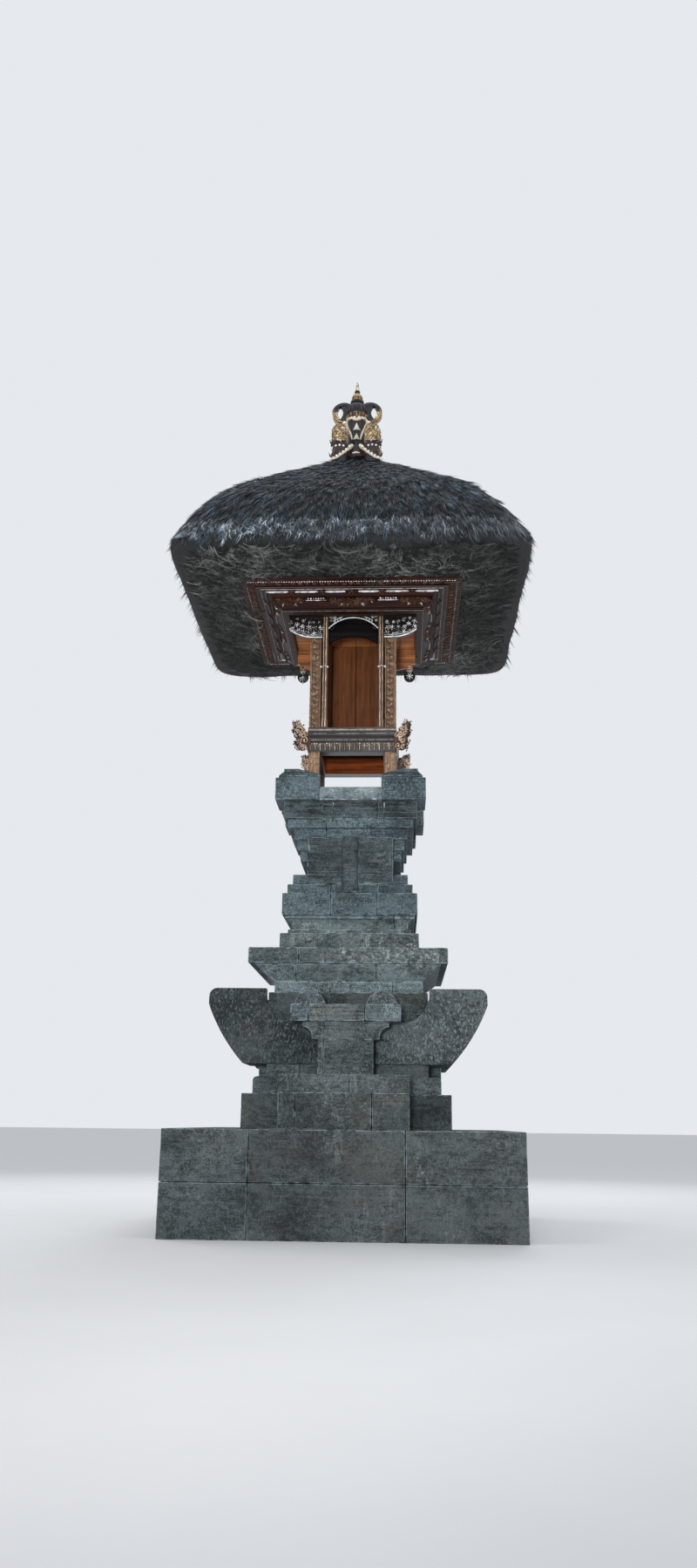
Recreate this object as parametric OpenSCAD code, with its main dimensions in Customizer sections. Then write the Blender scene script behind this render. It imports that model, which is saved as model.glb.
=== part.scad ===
// Stone and timber shrine with a black thatched roof.
// Front faces -Y, +Z is up, origin on the ground under the middle of the plinth.

/* [Plinth and base courses] */
// Width and depth of the plinth
plinth_w = 1400; // [1360:10:1700]
// Height of the plinth above the ground
plinth_h = 400; // [150:10:700]
// Width of the lowest course
base_w = 861; // [780:1:1000]
// Height of the lowest course
base_h = 140; // [80:1:220]
// Width of the second course
step_w = 781; // [700:1:900]
// Height of the second course
step_h = 70; // [40:1:120]
// Width of the projecting front middle of the two lowest courses
foot_bay_w = 514; // [400:1:600]
// Reach of the lowest course's front middle from the axis
base_bay_out = 660; // [480:1:675]
// Reach of the second course's front middle from the axis
step_bay_out = 630; // [450:1:650]
// Radius of the rounded top edge of the second course
step_round = 18; // [5:1:30]

/* [Die] */
// Width of the die, its foot and its cap
die_w = 680; // [560:1:760]
// Height of the die foot
die_foot_h = 52; // [30:1:100]
// Height of the die between foot and cap
die_h = 160; // [120:1:300]
// Height of the die cap
die_cap_h = 138; // [80:1:160]
// How far the die stands back behind its foot and cap
die_set = 35; // [15:1:60]

/* [Wings] */
// Distance from the axis to a wing's flat face
wing_face = 388; // [370:1:440]
// Distance from the axis to a wing's outer bottom edge
wing_foot = 437; // [400:1:500]
// Distance from the axis to a wing's outermost point
wing_tip = 588; // [520:1:680]
// Gap between a wing and the bay's panel beside it
wing_gap = 5; // [1:1:30]
// Distance from the axis to a wing's inner top edge
wing_top_inner = 345; // [341:1:400]
// Radius of the bulging curve from a wing's foot to its tip
wing_flare_r = 750; // [500:10:1500]
// Radius of the hollow curve at a wing's inner side
wing_hollow_r = 120; // [80:1:140]
// Height of a wing's underside below the top of the die foot
wing_lap = 0; // [0:1:10]
// Height of a wing's top above the die cap
wing_rise = 12; // [0:1:40]
// Depth of a wing's upright inner edge above the hollow
wing_lip = 22; // [5:1:60]
// Radius of the rounded outer end of a wing's top
wing_shoulder_r = 34; // [10:1:60]

/* [Bays] */
// Width of the panel in the middle of each face
panel_w = 226; // [160:1:280]
// Height of that panel
panel_h = 142; // [100:1:220]
// Distance from the axis to the front panel's face
panel_out = 530; // [520:1:600]
// How much less far the bays reach on the sides and the back
side_set = 130; // [0:1:132]
// Height of the corbel on the panel
bay_corbel_h = 71; // [60:1:110]
// Width of the fillet under the corbel's hollow
corbel_fillet_w = 276; // [240:1:300]
// Height of that fillet
corbel_fillet_h = 11; // [5:1:20]
// Radius of the corbel's hollow
corbel_hollow_r = 39; // [25:1:45]
// Width of the beam on the corbel
beam_w = 450; // [340:1:520]
// Height of the beam
beam_h = 68; // [40:1:100]
// Distance from the axis to the front beam's face
beam_out = 556; // [480:1:620]
// Radius of the half-round boss on the beam
boss_r = 65; // [40:1:80]
// Distance from the middle of the beam to each boss
boss_at = 148; // [90:1:155]
// How far a boss stands back behind the beam's face
boss_set = 14; // [4:1:40]
// How far a boss's centre lies below the top of the beam
boss_sink = 10; // [0:1:30]

/* [Slab courses] */
// Width of the course on the die
bed_w = 638; // [560:1:700]
// Height of that course
bed_h = 49; // [30:1:80]
// Height of the sloping course
slope_h = 66; // [40:1:100]
// Width at the top of the sloping course
slope_w = 794; // [700:1:840]
// Width of the slab
slab_w = 848; // [800:1:940]
// Height of the slab
slab_h = 66; // [40:1:100]

/* [Pedestal] */
// Width of the lowest pedestal step
ped_step_w = 608; // [540:1:680]
// Height of the lowest pedestal step
ped_step_h = 80; // [50:1:120]
// Width of the fillet on the step
ped_fillet_w = 544; // [500:1:600]
// Height of the fillet
ped_fillet_h = 21; // [10:1:40]
// Width at the foot of the hollow course
ped_cove_w = 512; // [460:1:540]
// Height of the hollow course
ped_cove_h = 61; // [50:1:90]
// Radius of its hollow
ped_cove_r = 30; // [10:1:36]
// Height of the lip above the hollow
ped_cove_lip = 14; // [5:1:18]
// Width of the main pedestal block
ped_block_w = 597; // [540:1:660]
// Height of the main pedestal block
ped_block_h = 97; // [60:1:140]
// Width of the lower cap step
ped_cap_w = 556; // [500:1:600]
// Height of the lower cap step
ped_cap_h = 43; // [25:1:70]
// Width of the upper cap step
ped_top_w = 514; // [450:1:560]
// Height of the upper cap step
ped_top_h = 48; // [25:1:70]

/* [Neck] */
// Width of the neck
neck_w = 350; // [300:1:380]
// Height of the open part of the neck
neck_h = 68; // [60:1:200]
// Width of the panel on the front and back of the neck
neck_panel_w = 384; // [300:1:420]
// Height of that panel
neck_panel_h = 216; // [150:1:250]
// Width of the round rib on the panel
rib_w = 76; // [40:1:110]
// Length of the rib below the panel
rib_drop = 42; // [0:1:43]

/* [Corbels and tray] */
// Width of the lowest corbel step
corbel_w = 454; // [420:1:500]
// Extra width of each corbel step above it
corbel_grow = 28; // [10:1:34]
// Height of one corbel step
corbel_step_h = 48; // [30:1:70]
// Width of the course on the corbels
collar_w = 567; // [540:1:590]
// Height of that course
collar_h = 38; // [25:1:60]
// Width of the tray course
tray_w = 600; // [570:1:640]
// Height of the tray course
tray_h = 78; // [50:1:120]
// Depth of the recess in the middle of each tray side
tray_recess = 14; // [6:1:30]
// Width of that recess
tray_recess_w = 250; // [150:1:300]

/* [Parapet and horns] */
// Width across the parapet and horns
parapet_w = 678; // [640:1:740]
// Thickness of the parapet
parapet_t = 62; // [40:1:70]
// Height of the parapet above the tray
parapet_h = 60; // [40:1:90]
// How far the parapets stand back from the faces of the horns
parapet_set = 6; // [1:1:20]
// Length of one horn along the parapet
horn_l = 200; // [150:1:230]
// Height of a horn above the tray
horn_h = 154; // [110:1:200]
// Width of the slanted outer shoulder of a horn
horn_shoulder_w = 34; // [10:1:50]
// Height of that shoulder
horn_shoulder_h = 52; // [20:1:60]
// Depth of the notch in the shoulder
horn_notch = 13; // [4:1:18]
// Fall of a horn's top towards the middle
horn_fall = 26; // [5:1:50]
// Length of the level part of a horn's top
horn_level = 66; // [20:1:90]

/* [Timber box] */
// Width across the corner posts
box_w = 404; // [340:1:460]
// Side of a corner post
post_w = 50; // [35:1:60]
// Height of the open space under the floor frame
leg_h = 267; // [180:1:330]
// Height of the floor frame
floor_frame_h = 121; // [90:1:150]
// Height of the floor frame's carved hem
hem_h = 46; // [30:1:55]
// Height of the lip round the floor
lip_h = 23; // [12:1:30]
// How far the hem and the lip stand out past the posts
hem_out = 5; // [2:1:12]
// How far the moulding between them stands out past the hem
moulding_out = 4; // [1:1:8]
// How far the floor frame's rails reach inwards past the posts
rail_in = 6; // [2:1:12]
// Clear height from the floor to the ceiling
niche_h = 570; // [450:1:650]
// Thickness of the boards
board_t = 12; // [8:1:18]
// Width of a front stile
stile_w = 24; // [20:1:36]
// Depth of a front stile
stile_t = 30; // [20:1:40]
// Gap between a stile and its post
stile_gap = 7; // [2:1:12]
// Height of the block at the foot of a stile
stile_block_h = 40; // [20:1:70]
// How far that block stands out in front of the stile
stile_block_out = 4; // [1:1:5]

/* [Carved woodwork] */
// Height of the arched header at the back of the stiles
header_h = 130; // [80:1:150]
// Rise of the header's arch
header_rise = 40; // [10:1:50]
// Height of the fretwork at its deepest
fret_h = 116; // [90:1:130]
// Height of the fretwork at its outer end
fret_end_h = 76; // [40:1:85]
// Height of the arches between stiles or posts, at their ends
arch_end_h = 68; // [40:1:90]
// Height of those arches at their crown
arch_crown_h = 10; // [6:1:30]
// Radius of the round point that hangs at each end of an arch
arch_point_r = 15; // [8:1:20]
// Width of the drops that hang from the rear fretwork
drop_w = 58; // [30:1:70]
// How far the drops hang below the ceiling
drop_h = 180; // [120:1:220]
// Width of the neck above a drop's round end
drop_neck_w = 34; // [20:1:40]
// Height of the carved leaves at the corners of the floor frame
leaf_h = 132; // [90:1:160]
// How far the leaves reach out from the floor frame
leaf_out = 80; // [50:1:100]
// Thickness of the leaves
leaf_t = 24; // [12:1:30]
// Radius of a leaf's lobes, as a share of how far the leaf reaches out
leaf_lobe = 0.33; // [0.28:0.01:0.36]
// Radius of a leaf's tip, as a share of a lobe's
leaf_tip = 0.7; // [0.5:0.01:0.8]

/* [Cornice] */
// Width between the inner faces of the cornice frame
cornice_in_w = 606; // [560:1:660]
// Width of the flat underside of the cornice frame
cornice_beam_w = 31; // [20:1:50]
// Reach of the cornice beyond its flat underside
cornice_out = 178; // [140:1:220]
// Height of the cornice
cornice_h = 90; // [80:1:120]
// Height of its lowest edge
cornice_edge = 14; // [6:1:20]
// Reach of its slanted panel
cornice_slant_w = 26; // [16:1:34]
// Rise of its slanted panel
cornice_slant_h = 20; // [14:1:24]
// Height of its carved band
cornice_band = 18; // [10:1:20]
// Radius of its hollow
cornice_cove_r = 18; // [10:1:24]
// Reach of its outer soffit
cornice_soffit = 62; // [40:1:70]
// Thickness of its outer lip
cornice_lip = 10; // [6:1:16]
// Width of each small fillet between its members
cornice_fillet = 8; // [4:1:12]
// Depth of the frame below the ceiling
ceiling_drop = 36; // [20:1:50]

/* [Roof] */
// Width across the eaves
eave_w = 1630; // [1500:10:1800]
// Rise of the thatch's underside from the cornice to the eaves
soffit_rise = 42; // [10:1:80]
// Height of the thatch from the cornice to its peak
thatch_h = 960; // [800:10:1100]
// Pitch of the upper part of the thatch in degrees
thatch_pitch = 41; // [35:1:46]
// Distance from the axis to where the straight slope ends
thatch_straight = 480; // [300:10:600]
// Radius of the rounded lower part of the thatch
thatch_r = 1170; // [900:10:1500]

/* [Finial] */
// Distance from the axis to the outer face of a finial foot
finial_foot_out = 125; // [110:1:160]
// Width of a finial foot
finial_foot_w = 82; // [60:1:100]
// Height of the feet above the roof's peak
finial_foot_h = 128; // [90:1:160]
// Width of the column between the feet and the crown
finial_column_w = 104; // [70:1:130]
// Height of the column above the roof's peak
finial_column_h = 190; // [160:1:230]
// Height of the crown's cup
crown_h = 114; // [90:1:140]
// Radius of the cup at its rim
crown_r = 56; // [50:1:70]
// How far the cup's foot stands back behind the column
cup_set = 4; // [1:1:12]
// Height of the cup's narrow foot
cup_foot_h = 24; // [12:1:36]
// Height of the slanted shoulder above the cup's rim
cup_shoulder_h = 23; // [10:1:30]
// Height of a crown loop
loop_h = 128; // [118:1:136]
// Distance from the axis to the outside of a crown loop
loop_out = 133; // [125:1:150]
// Thickness of a crown loop from front to back
loop_w = 26; // [14:1:50]
// Distance from the axis to the middle of the hole in a loop
loop_hole_at = 89; // [84:1:95]
// Width of that hole
loop_hole_w = 30; // [16:1:34]
// Half the height of that hole
loop_hole_h = 41; // [24:1:46]
// How far the hole's middle lies above the middle of the loop
loop_hole_rise = 5; // [0:1:8]
// Radius of the dish on the crown
dish_r = 36; // [30:1:44]
// Height of that dish
dish_h = 24; // [14:1:34]
// Radius of the dish's foot
dish_foot_r = 20; // [12:1:24]
// Radius of the ball in the dish
ball_r = 27; // [18:1:34]
// How far the ball's centre stands above its dish, as a share of its radius
ball_seat = 0.85; // [0.3:0.01:0.95]
// Radius of the ring on top of the ball
ring_r = 13; // [9:1:18]
// How far the ring stands above the ball
ring_h = 10; // [4:1:18]
// Length of the bud above the ring
tip_h = 60; // [30:1:80]
// Radius at the foot of the bud
tip_r = 15; // [8:1:18]
// Radius at the end of the bud
tip_end_r = 5; // [1:0.5:7]

/* [Hidden] */
$fn = 96;
stone = [0.22, 0.24, 0.27];
stone_light = [0.30, 0.32, 0.34];
wood = [0.36, 0.20, 0.12];
wood_pale = [0.62, 0.40, 0.24];
wood_dark = [0.16, 0.09, 0.06];
fibre = [0.07, 0.07, 0.08];
gilt = [0.72, 0.55, 0.28];

base_z = plinth_h;
step_z = base_z + base_h;
die_foot_z = step_z + step_h;
die_z = die_foot_z + die_foot_h;
die_cap_z = die_z + die_h;
bed_z = die_cap_z + die_cap_h;
slope_z = bed_z + bed_h;
slab_z = slope_z + slope_h;
ped_z = slab_z + slab_h;
cove_z = ped_z + ped_step_h + ped_fillet_h;
block_z = cove_z + ped_cove_h;
cap_z = block_z + ped_block_h;
neck_z = cap_z + ped_cap_h + ped_top_h;
neck_panel_z = cap_z + ped_cap_h;
corbel_z = neck_z + neck_h;
collar_z = corbel_z + 3 * corbel_step_h;
tray_z = collar_z + collar_h;
deck_z = tray_z + tray_h;
frame_z = deck_z + leg_h;
floor_z = frame_z + floor_frame_h;
ceiling_z = floor_z + niche_h;
cornice_z = ceiling_z - ceiling_drop;
roof_z = cornice_z + cornice_h;
peak_z = roof_z + thatch_h;
wing_z = die_z - wing_lap;
wing_h = die_h + die_cap_h + wing_rise + wing_lap;
panel_z = die_foot_z;
bay_corbel_z = panel_z + panel_h;
beam_z = bay_corbel_z + bay_corbel_h;
boss_z = beam_z + beam_h;
post_at = box_w / 2 - post_w / 2;
niche_w = box_w - 2 * (post_w + stile_gap + stile_w);
post_bay_w = box_w - 2 * post_w;
frame_inner_w = post_bay_w - 2 * rail_in;
wing_inner = panel_w / 2 + wing_gap;
big = 3000;

// A square course centred on the axis
module course(w, h, z) {
    translate([-w / 2, -w / 2, z]) cube([w, w, h]);
}

// A copy on each of the four faces, the first one facing the front.
// $set is how much less far that face's bay reaches.
module each_face() {
    for (turn = [0:90:270]) {
        $set = turn == 0 ? 0 : side_set;
        rotate([0, 0, turn]) children();
    }
}

// A copy at each of the four corners, by mirroring the front right one
module each_corner() {
    for (flip_x = [0, 1]) mirror([flip_x, 0, 0])
        for (flip_y = [0, 1]) mirror([0, flip_y, 0]) children();
}

// An outline in X and Z, pulled along Y between two places
module along_y(from, to) {
    translate([0, to, 0]) rotate([90, 0, 0]) linear_extrude(to - from) children();
}

// A course with rounded top edges: one outline each way, where they cross
module rounded_course(w, h, z, r) {
    intersection() {
        along_y(-w, w) rounded_outline(w, h, z, r);
        rotate([0, 0, 90]) along_y(-w, w) rounded_outline(w, h, z, r);
    }
}

module rounded_outline(w, h, z, r) {
    translate([-w / 2, z]) square([w, h - r]);
    translate([r - w / 2, z]) square([w - 2 * r, h]);
    for (side = [-1, 1]) translate([side * (w / 2 - r), z + h - r]) circle(r);
}

// The middle of a course that stands forward at the front
module front_bay(h, z, out) {
    translate([-foot_bay_w / 2, -out, z]) cube([foot_bay_w, out, h]);
}

module plinth() {
    color(stone) course(plinth_w, plinth_h, 0);
}

module base_course() {
    color(stone) union() {
        course(base_w, base_h, base_z);
        front_bay(base_h, base_z, base_bay_out);
    }
}

module step_course() {
    color(stone) union() {
        rounded_course(step_w, step_h, step_z, step_round);
        front_bay(step_h, step_z, step_bay_out);
    }
}

module die_foot() {
    color(stone) difference() {
        course(die_w, die_foot_h, die_foot_z);
        each_face() bay_slot(panel_w);
    }
}

// The room that a bay stone takes out of the die
module bay_slot(w) {
    translate([-w / 2, -die_w / 2 - 1, die_foot_z - 1])
        cube([w, die_set + 1, boss_z - die_foot_z + 2]);
}

module die() {
    color(stone) difference() {
        union() {
            course(die_w - 2 * die_set, die_h, die_z);
            course(die_w, die_cap_h, die_cap_z);
        }
        each_face() beam_room();
    }
}

// The room that a beam and the corbel under it take from the die's cap
module beam_room() {
    translate([-beam_w / 2, -die_w / 2 - 1, bay_corbel_z])
        cube([beam_w, die_set + 1, beam_z + beam_h - bay_corbel_z]);
}

// Outline of a wing seen from the front, with the axis at x = 0
module wing_outline() {
    top = wing_z + wing_h;
    foot = [wing_foot, wing_z];
    tip = [wing_tip, top - 2 * wing_shoulder_r];
    difference() {
        intersection() {
            union() {
                translate([wing_inner, wing_z]) square([wing_tip - wing_inner - wing_shoulder_r, wing_h]);
                translate([wing_inner, wing_z])
                    square([wing_tip - wing_inner, wing_h - wing_shoulder_r]);
                translate([wing_tip - wing_shoulder_r, top - wing_shoulder_r]) circle(wing_shoulder_r);
            }
            translate(arc_centre(foot, tip, wing_flare_r)) circle(wing_flare_r);
        }
        wing_hollow();
    }
}

// Centre of the arc of radius r from a to b that bulges to the right of that way
function arc_centre(a, b, r) =
    let(way = b - a, half = norm(way) / 2)
    (a + b) / 2 + [-way[1], way[0]] / norm(way) * sqrt(r * r - half * half);

// The hollow that a wing's inner side curves round
module wing_hollow() {
    hollow_z = wing_z + wing_h - wing_lip;
    translate([wing_top_inner - wing_hollow_r, hollow_z]) circle(wing_hollow_r);
    translate([0, hollow_z]) square([wing_top_inner, wing_h]);
    translate([0, hollow_z - wing_hollow_r])
        square([wing_top_inner - wing_hollow_r, wing_hollow_r + 1]);
}

// Outline of a wing seen from the side: upright in front and hollow behind
module wing_side_outline() {
    difference() {
        translate([wing_inner, wing_z]) square([wing_face - wing_inner, wing_h]);
        wing_hollow();
    }
}

// A corner stone that flares outwards and stands round the die's corner
module wing() {
    color(stone_light) difference() {
        intersection() {
            along_y(-wing_face, -wing_inner) wing_outline();
            rotate([0, 0, -90]) along_y(-big, big) wing_side_outline();
        }
        course(die_w - 2 * die_set, big, 0);
        course(die_w, big, die_cap_z);
        each_face() bay_room();
    }
}

// The room that a bay's corbel and beam take at a wing's inner side
module bay_room() {
    along_y(-panel_out, 0) corbel_outline();
    translate([-beam_w / 2, -beam_out, beam_z]) cube([beam_w, beam_out, beam_h]);
}

module wing_at(side, end) {
    mirror([side, 0, 0]) mirror([0, end, 0]) wing();
}

module bay_panels() {
    color(stone_light) each_face()
        translate([-panel_w / 2, $set - panel_out, panel_z])
            cube([panel_w, panel_out - $set - die_w / 2 + die_set, panel_h]);
}

// Outline of the corbel under a beam: a fillet, a hollow and a flat
module corbel_outline() {
    low = corbel_fillet_w / 2;
    high = low + corbel_hollow_r;
    hollow_z = bay_corbel_z + corbel_fillet_h;
    difference() {
        translate([-high, bay_corbel_z]) square([2 * high, bay_corbel_h]);
        for (flip = [0, 1]) mirror([flip, 0]) {
            translate([low, bay_corbel_z - 1]) square([high, corbel_fillet_h + 1]);
            translate([high, hollow_z]) circle(corbel_hollow_r);
        }
    }
}

module bay_corbels() {
    color(stone) each_face()
        along_y($set - panel_out, -die_w / 2 + die_set) corbel_outline();
}

module bay_beams() {
    color(stone_light) each_face()
        translate([-beam_w / 2, $set - beam_out, beam_z])
            cube([beam_w, beam_out - $set - die_w / 2 + die_set, beam_h]);
}

module bay_bosses() {
    color(stone) each_face() for (side = [-1, 1])
        intersection() {
            translate([side * boss_at, -die_w / 2, boss_z - boss_sink]) rotate([90, 0, 0])
                cylinder(h = beam_out - $set - boss_set - die_w / 2, r = boss_r);
            translate([-big / 2, -big / 2, boss_z]) cube([big, big, boss_r]);
        }
}

module bed_course() {
    color(stone_light) course(bed_w, bed_h, bed_z);
}

// The sloping course: one sloping outline each way, where they cross
module slope_course() {
    color(stone) intersection() {
        along_y(-big / 2, big / 2) slope_outline();
        rotate([0, 0, 90]) along_y(-big / 2, big / 2) slope_outline();
    }
}

module slope_outline() {
    polygon([[-bed_w / 2, slope_z], [bed_w / 2, slope_z],
             [slope_w / 2, slab_z], [-slope_w / 2, slab_z]]);
}

module slab() {
    color(stone_light) course(slab_w, slab_h, slab_z);
}

module pedestal_step() {
    color(stone) union() {
        course(ped_step_w, ped_step_h, ped_z);
        course(ped_fillet_w, ped_fillet_h, ped_z + ped_step_h);
    }
}

module pedestal_cove() {
    color(stone) intersection() {
        along_y(-big / 2, big / 2) cove_outline();
        rotate([0, 0, 90]) along_y(-big / 2, big / 2) cove_outline();
    }
}

// A hollow on each side, with a lip above it
module cove_outline() {
    foot = ped_cove_w / 2;
    hollow_z = cove_z + ped_cove_h - ped_cove_lip - ped_cove_r;
    difference() {
        translate([-foot - ped_cove_r, cove_z]) square([2 * (foot + ped_cove_r), ped_cove_h]);
        for (side = [-1, 1]) {
            translate([side * (foot + ped_cove_r), hollow_z]) circle(ped_cove_r);
            translate([side * (foot + ped_cove_r), (cove_z + hollow_z) / 2])
                square([2 * ped_cove_r, hollow_z - cove_z], center = true);
        }
    }
}

module pedestal_block() {
    color(stone_light) course(ped_block_w, ped_block_h, block_z);
}

module pedestal_cap() {
    color(stone) difference() {
        union() {
            course(ped_cap_w, ped_cap_h, cap_z);
            course(ped_top_w, ped_top_h, cap_z + ped_cap_h);
        }
        neck_panel_room();
    }
}

module neck() {
    color(stone) course(neck_w, neck_h + 3 * corbel_step_h, neck_z);
}

// The room that the two neck panels take from the front to the back
module neck_panel_room() {
    translate([-neck_panel_w / 2, -ped_cap_w, neck_panel_z])
        cube([neck_panel_w, ped_cap_w - neck_w / 2, neck_panel_h]);
    translate([-neck_panel_w / 2, neck_w / 2, neck_panel_z])
        cube([neck_panel_w, ped_cap_w - neck_w / 2, neck_panel_h]);
}

module neck_panels() {
    face = ped_cap_w / 2;
    color(stone_light) for (turn = [0, 180]) rotate([0, 0, turn]) {
        translate([-neck_panel_w / 2, -face, neck_panel_z])
            cube([neck_panel_w, face - neck_w / 2, neck_panel_h]);
        intersection() {
            translate([0, -face, neck_panel_z - rib_drop])
                cylinder(h = neck_panel_h + rib_drop, d = rib_w);
            translate([-rib_w, -face - rib_w, 0]) cube([2 * rib_w, rib_w, big]);
        }
    }
}

module corbel() {
    color(stone) difference() {
        union() {
            for (tier = [0:2])
                course(corbel_w + tier * corbel_grow, corbel_step_h,
                       corbel_z + tier * corbel_step_h);
            course(collar_w, collar_h, collar_z);
        }
        course(neck_w, 3 * corbel_step_h, corbel_z);
        neck_panel_room();
    }
}

module tray() {
    color(stone_light) difference() {
        course(tray_w, tray_h, tray_z);
        each_face() translate([-tray_recess_w / 2, -tray_w / 2 - 1, tray_z - 1])
            cube([tray_recess_w, tray_recess + 1, tray_h + 2]);
    }
}

module parapets() {
    side_l = parapet_w - 2 * horn_l;
    color(stone) each_face()
        translate([-side_l / 2, -parapet_w / 2 + parapet_set, deck_z])
            cube([side_l, parapet_t - parapet_set, parapet_h]);
}

// Outline of a horn along one parapet, outer end at x = 0
module horn_outline() {
    shoulder_z = horn_h - horn_shoulder_h;
    polygon([[0, 0], [horn_l, 0], [horn_l, horn_h - horn_fall],
             [horn_shoulder_w + horn_level, horn_h], [horn_shoulder_w, horn_h],
             [horn_shoulder_w, horn_h - horn_notch], [horn_notch, shoulder_z + horn_notch],
             [horn_notch, shoulder_z], [0, shoulder_z]]);
}

module corner_horns() {
    color(stone_light) each_corner() translate([0, 0, deck_z]) difference() {
        intersection() {
            along_y(-parapet_w, 0) translate([parapet_w / 2, 0]) mirror([1, 0]) horn_outline();
            rotate([0, 0, -90]) along_y(-parapet_w, parapet_w)
                translate([parapet_w / 2, 0]) mirror([1, 0]) horn_outline();
        }
        inner = parapet_w / 2 - parapet_t;
        translate([-1, -inner, -1]) cube([inner + 1, inner + 1, horn_h + 2]);
    }
}

module posts() {
    color(wood) each_corner()
        translate([post_at - post_w / 2, -post_at - post_w / 2, deck_z])
            cube([post_w, post_w, ceiling_z - deck_z]);
}

// The room that the four posts take
module post_room() {
    each_corner() translate([post_at - post_w / 2, -post_at - post_w / 2, 0])
        cube([post_w, post_w, big * 2]);
}

module floor_frame() {
    rim_w = box_w + 2 * hem_out;
    moulding_h = floor_frame_h - hem_h - lip_h;
    color(wood_dark) difference() {
        union() {
            course(rim_w, hem_h, frame_z);
            course(rim_w + 2 * moulding_out, moulding_h, frame_z + hem_h);
            course(rim_w, lip_h, floor_z - lip_h);
        }
        course(frame_inner_w, floor_frame_h + 2, frame_z - 1);
        post_room();
    }
}

module floor_boards() {
    color(wood_pale) course(frame_inner_w, 2 * board_t, floor_z - 2 * board_t);
}

module back_wall() {
    color(wood)
        translate([-post_bay_w / 2, box_w / 2 - post_w + board_t, floor_z])
            cube([post_bay_w, board_t, niche_h]);
}

module side_walls() {
    front = -box_w / 2 + stile_t;
    back = box_w / 2 - post_w + board_t;
    color(wood) for (flip = [0, 1]) mirror([flip, 0, 0])
        translate([niche_w / 2, front, floor_z]) cube([board_t, back - front, niche_h]);
}

module stiles() {
    color(wood_pale) for (flip = [0, 1]) mirror([flip, 0, 0])
        translate([niche_w / 2, -box_w / 2, floor_z]) union() {
            cube([stile_w, stile_t, niche_h]);
            translate([-stile_block_out, -stile_block_out, 0])
                cube([stile_w + 2 * stile_block_out, stile_t, stile_block_h]);
        }
}

module header() {
    low = ceiling_z - header_h;
    arch_r = (niche_w * niche_w / 4 + header_rise * header_rise) / (2 * header_rise);
    color(wood_dark) along_y(-box_w / 2 + stile_t, -box_w / 2 + stile_t + board_t)
        difference() {
            translate([-niche_w / 2, low]) square([niche_w, header_h]);
            translate([0, low + header_rise - arch_r]) circle(arch_r);
        }
}

// Outline of one bracket beside a stile, with a belly that rises to its outer end
module bracket_outline() {
    reach = cornice_in_w / 2;
    start = niche_w / 2 + stile_w;
    low = ceiling_z - fret_h;
    belly_x = box_w / 2 - post_w / 4;
    run = reach - belly_x;
    rise = fret_h - fret_end_h;
    belly_r = (run * run + rise * rise) / (2 * rise);
    intersection() {
        translate([start, low]) square([reach - start, fret_h]);
        union() {
            translate([start, low]) square([belly_x - start, fret_h]);
            translate([belly_x, low + belly_r]) circle(belly_r);
        }
    }
}

// Outline of an arch of width w, with a round point at each end
module arch_outline(w) {
    low = ceiling_z - arch_end_h;
    rise = arch_end_h - arch_crown_h;
    arch_r = (w * w / 4 + rise * rise) / (2 * rise);
    difference() {
        translate([-w / 2, low]) square([w, arch_end_h]);
        translate([0, low + rise - arch_r]) circle(arch_r);
    }
    for (side = [-1, 1]) intersection() {
        translate([side * (w / 2 - arch_point_r), low + arch_point_r]) circle(arch_point_r);
        translate([-w / 2, low]) square([w, arch_end_h]);
    }
}

// Outline of a drop that hangs from the rear fretwork
module drop_outline() {
    at = cornice_in_w / 2 - drop_w / 2;
    low = ceiling_z - drop_h;
    translate([at, low + drop_w / 2]) circle(drop_w / 2);
    translate([at - drop_neck_w / 2, low + drop_w / 2])
        square([drop_neck_w, drop_h - drop_w / 2 - fret_end_h / 2]);
}

module fretwork() {
    back = box_w / 2;
    color(wood_dark) {
        for (y = [-back - board_t, back]) along_y(y, y + board_t)
            for (flip = [0, 1]) mirror([flip, 0]) bracket_outline();
        along_y(back, back + board_t)
            for (flip = [0, 1]) mirror([flip, 0]) drop_outline();
        along_y(-back, -back + board_t) arch_outline(niche_w);
        for (turn = [90:90:270]) rotate([0, 0, turn])
            along_y(-back, -back + board_t) arch_outline(post_bay_w);
    }
}

module corner_leaves() {
    rim_w = box_w + 2 * (hem_out + moulding_out);
    color(gilt) difference() {
        each_corner() translate([rim_w / 2, -rim_w / 2, frame_z]) rotate([0, 0, -45])
            along_y(-leaf_t / 2, leaf_t / 2) leaf_outline();
        course(rim_w, big, frame_z - 1);
    }
}

// A leaf with three lobes and a curled tip, growing out and up from the corner at x = 0
module leaf_outline() {
    lobe = leaf_out * leaf_lobe;
    tip = lobe * leaf_tip;
    climb = (leaf_h - lobe - tip) / 3;
    translate([-leaf_t / 2, lobe / 2]) square([lobe + leaf_t / 2, leaf_h - 2 * lobe]);
    for (step = [0:2])
        translate([lobe + step * (leaf_out - 2 * lobe) / 4, lobe + step * climb]) circle(lobe);
    translate([leaf_out - tip, leaf_h - tip]) circle(tip);
}

module ceiling() {
    color(wood_pale)
        translate([-cornice_in_w / 2, -cornice_in_w / 2, ceiling_z])
            cube([cornice_in_w, cornice_in_w, board_t]);
}

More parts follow.
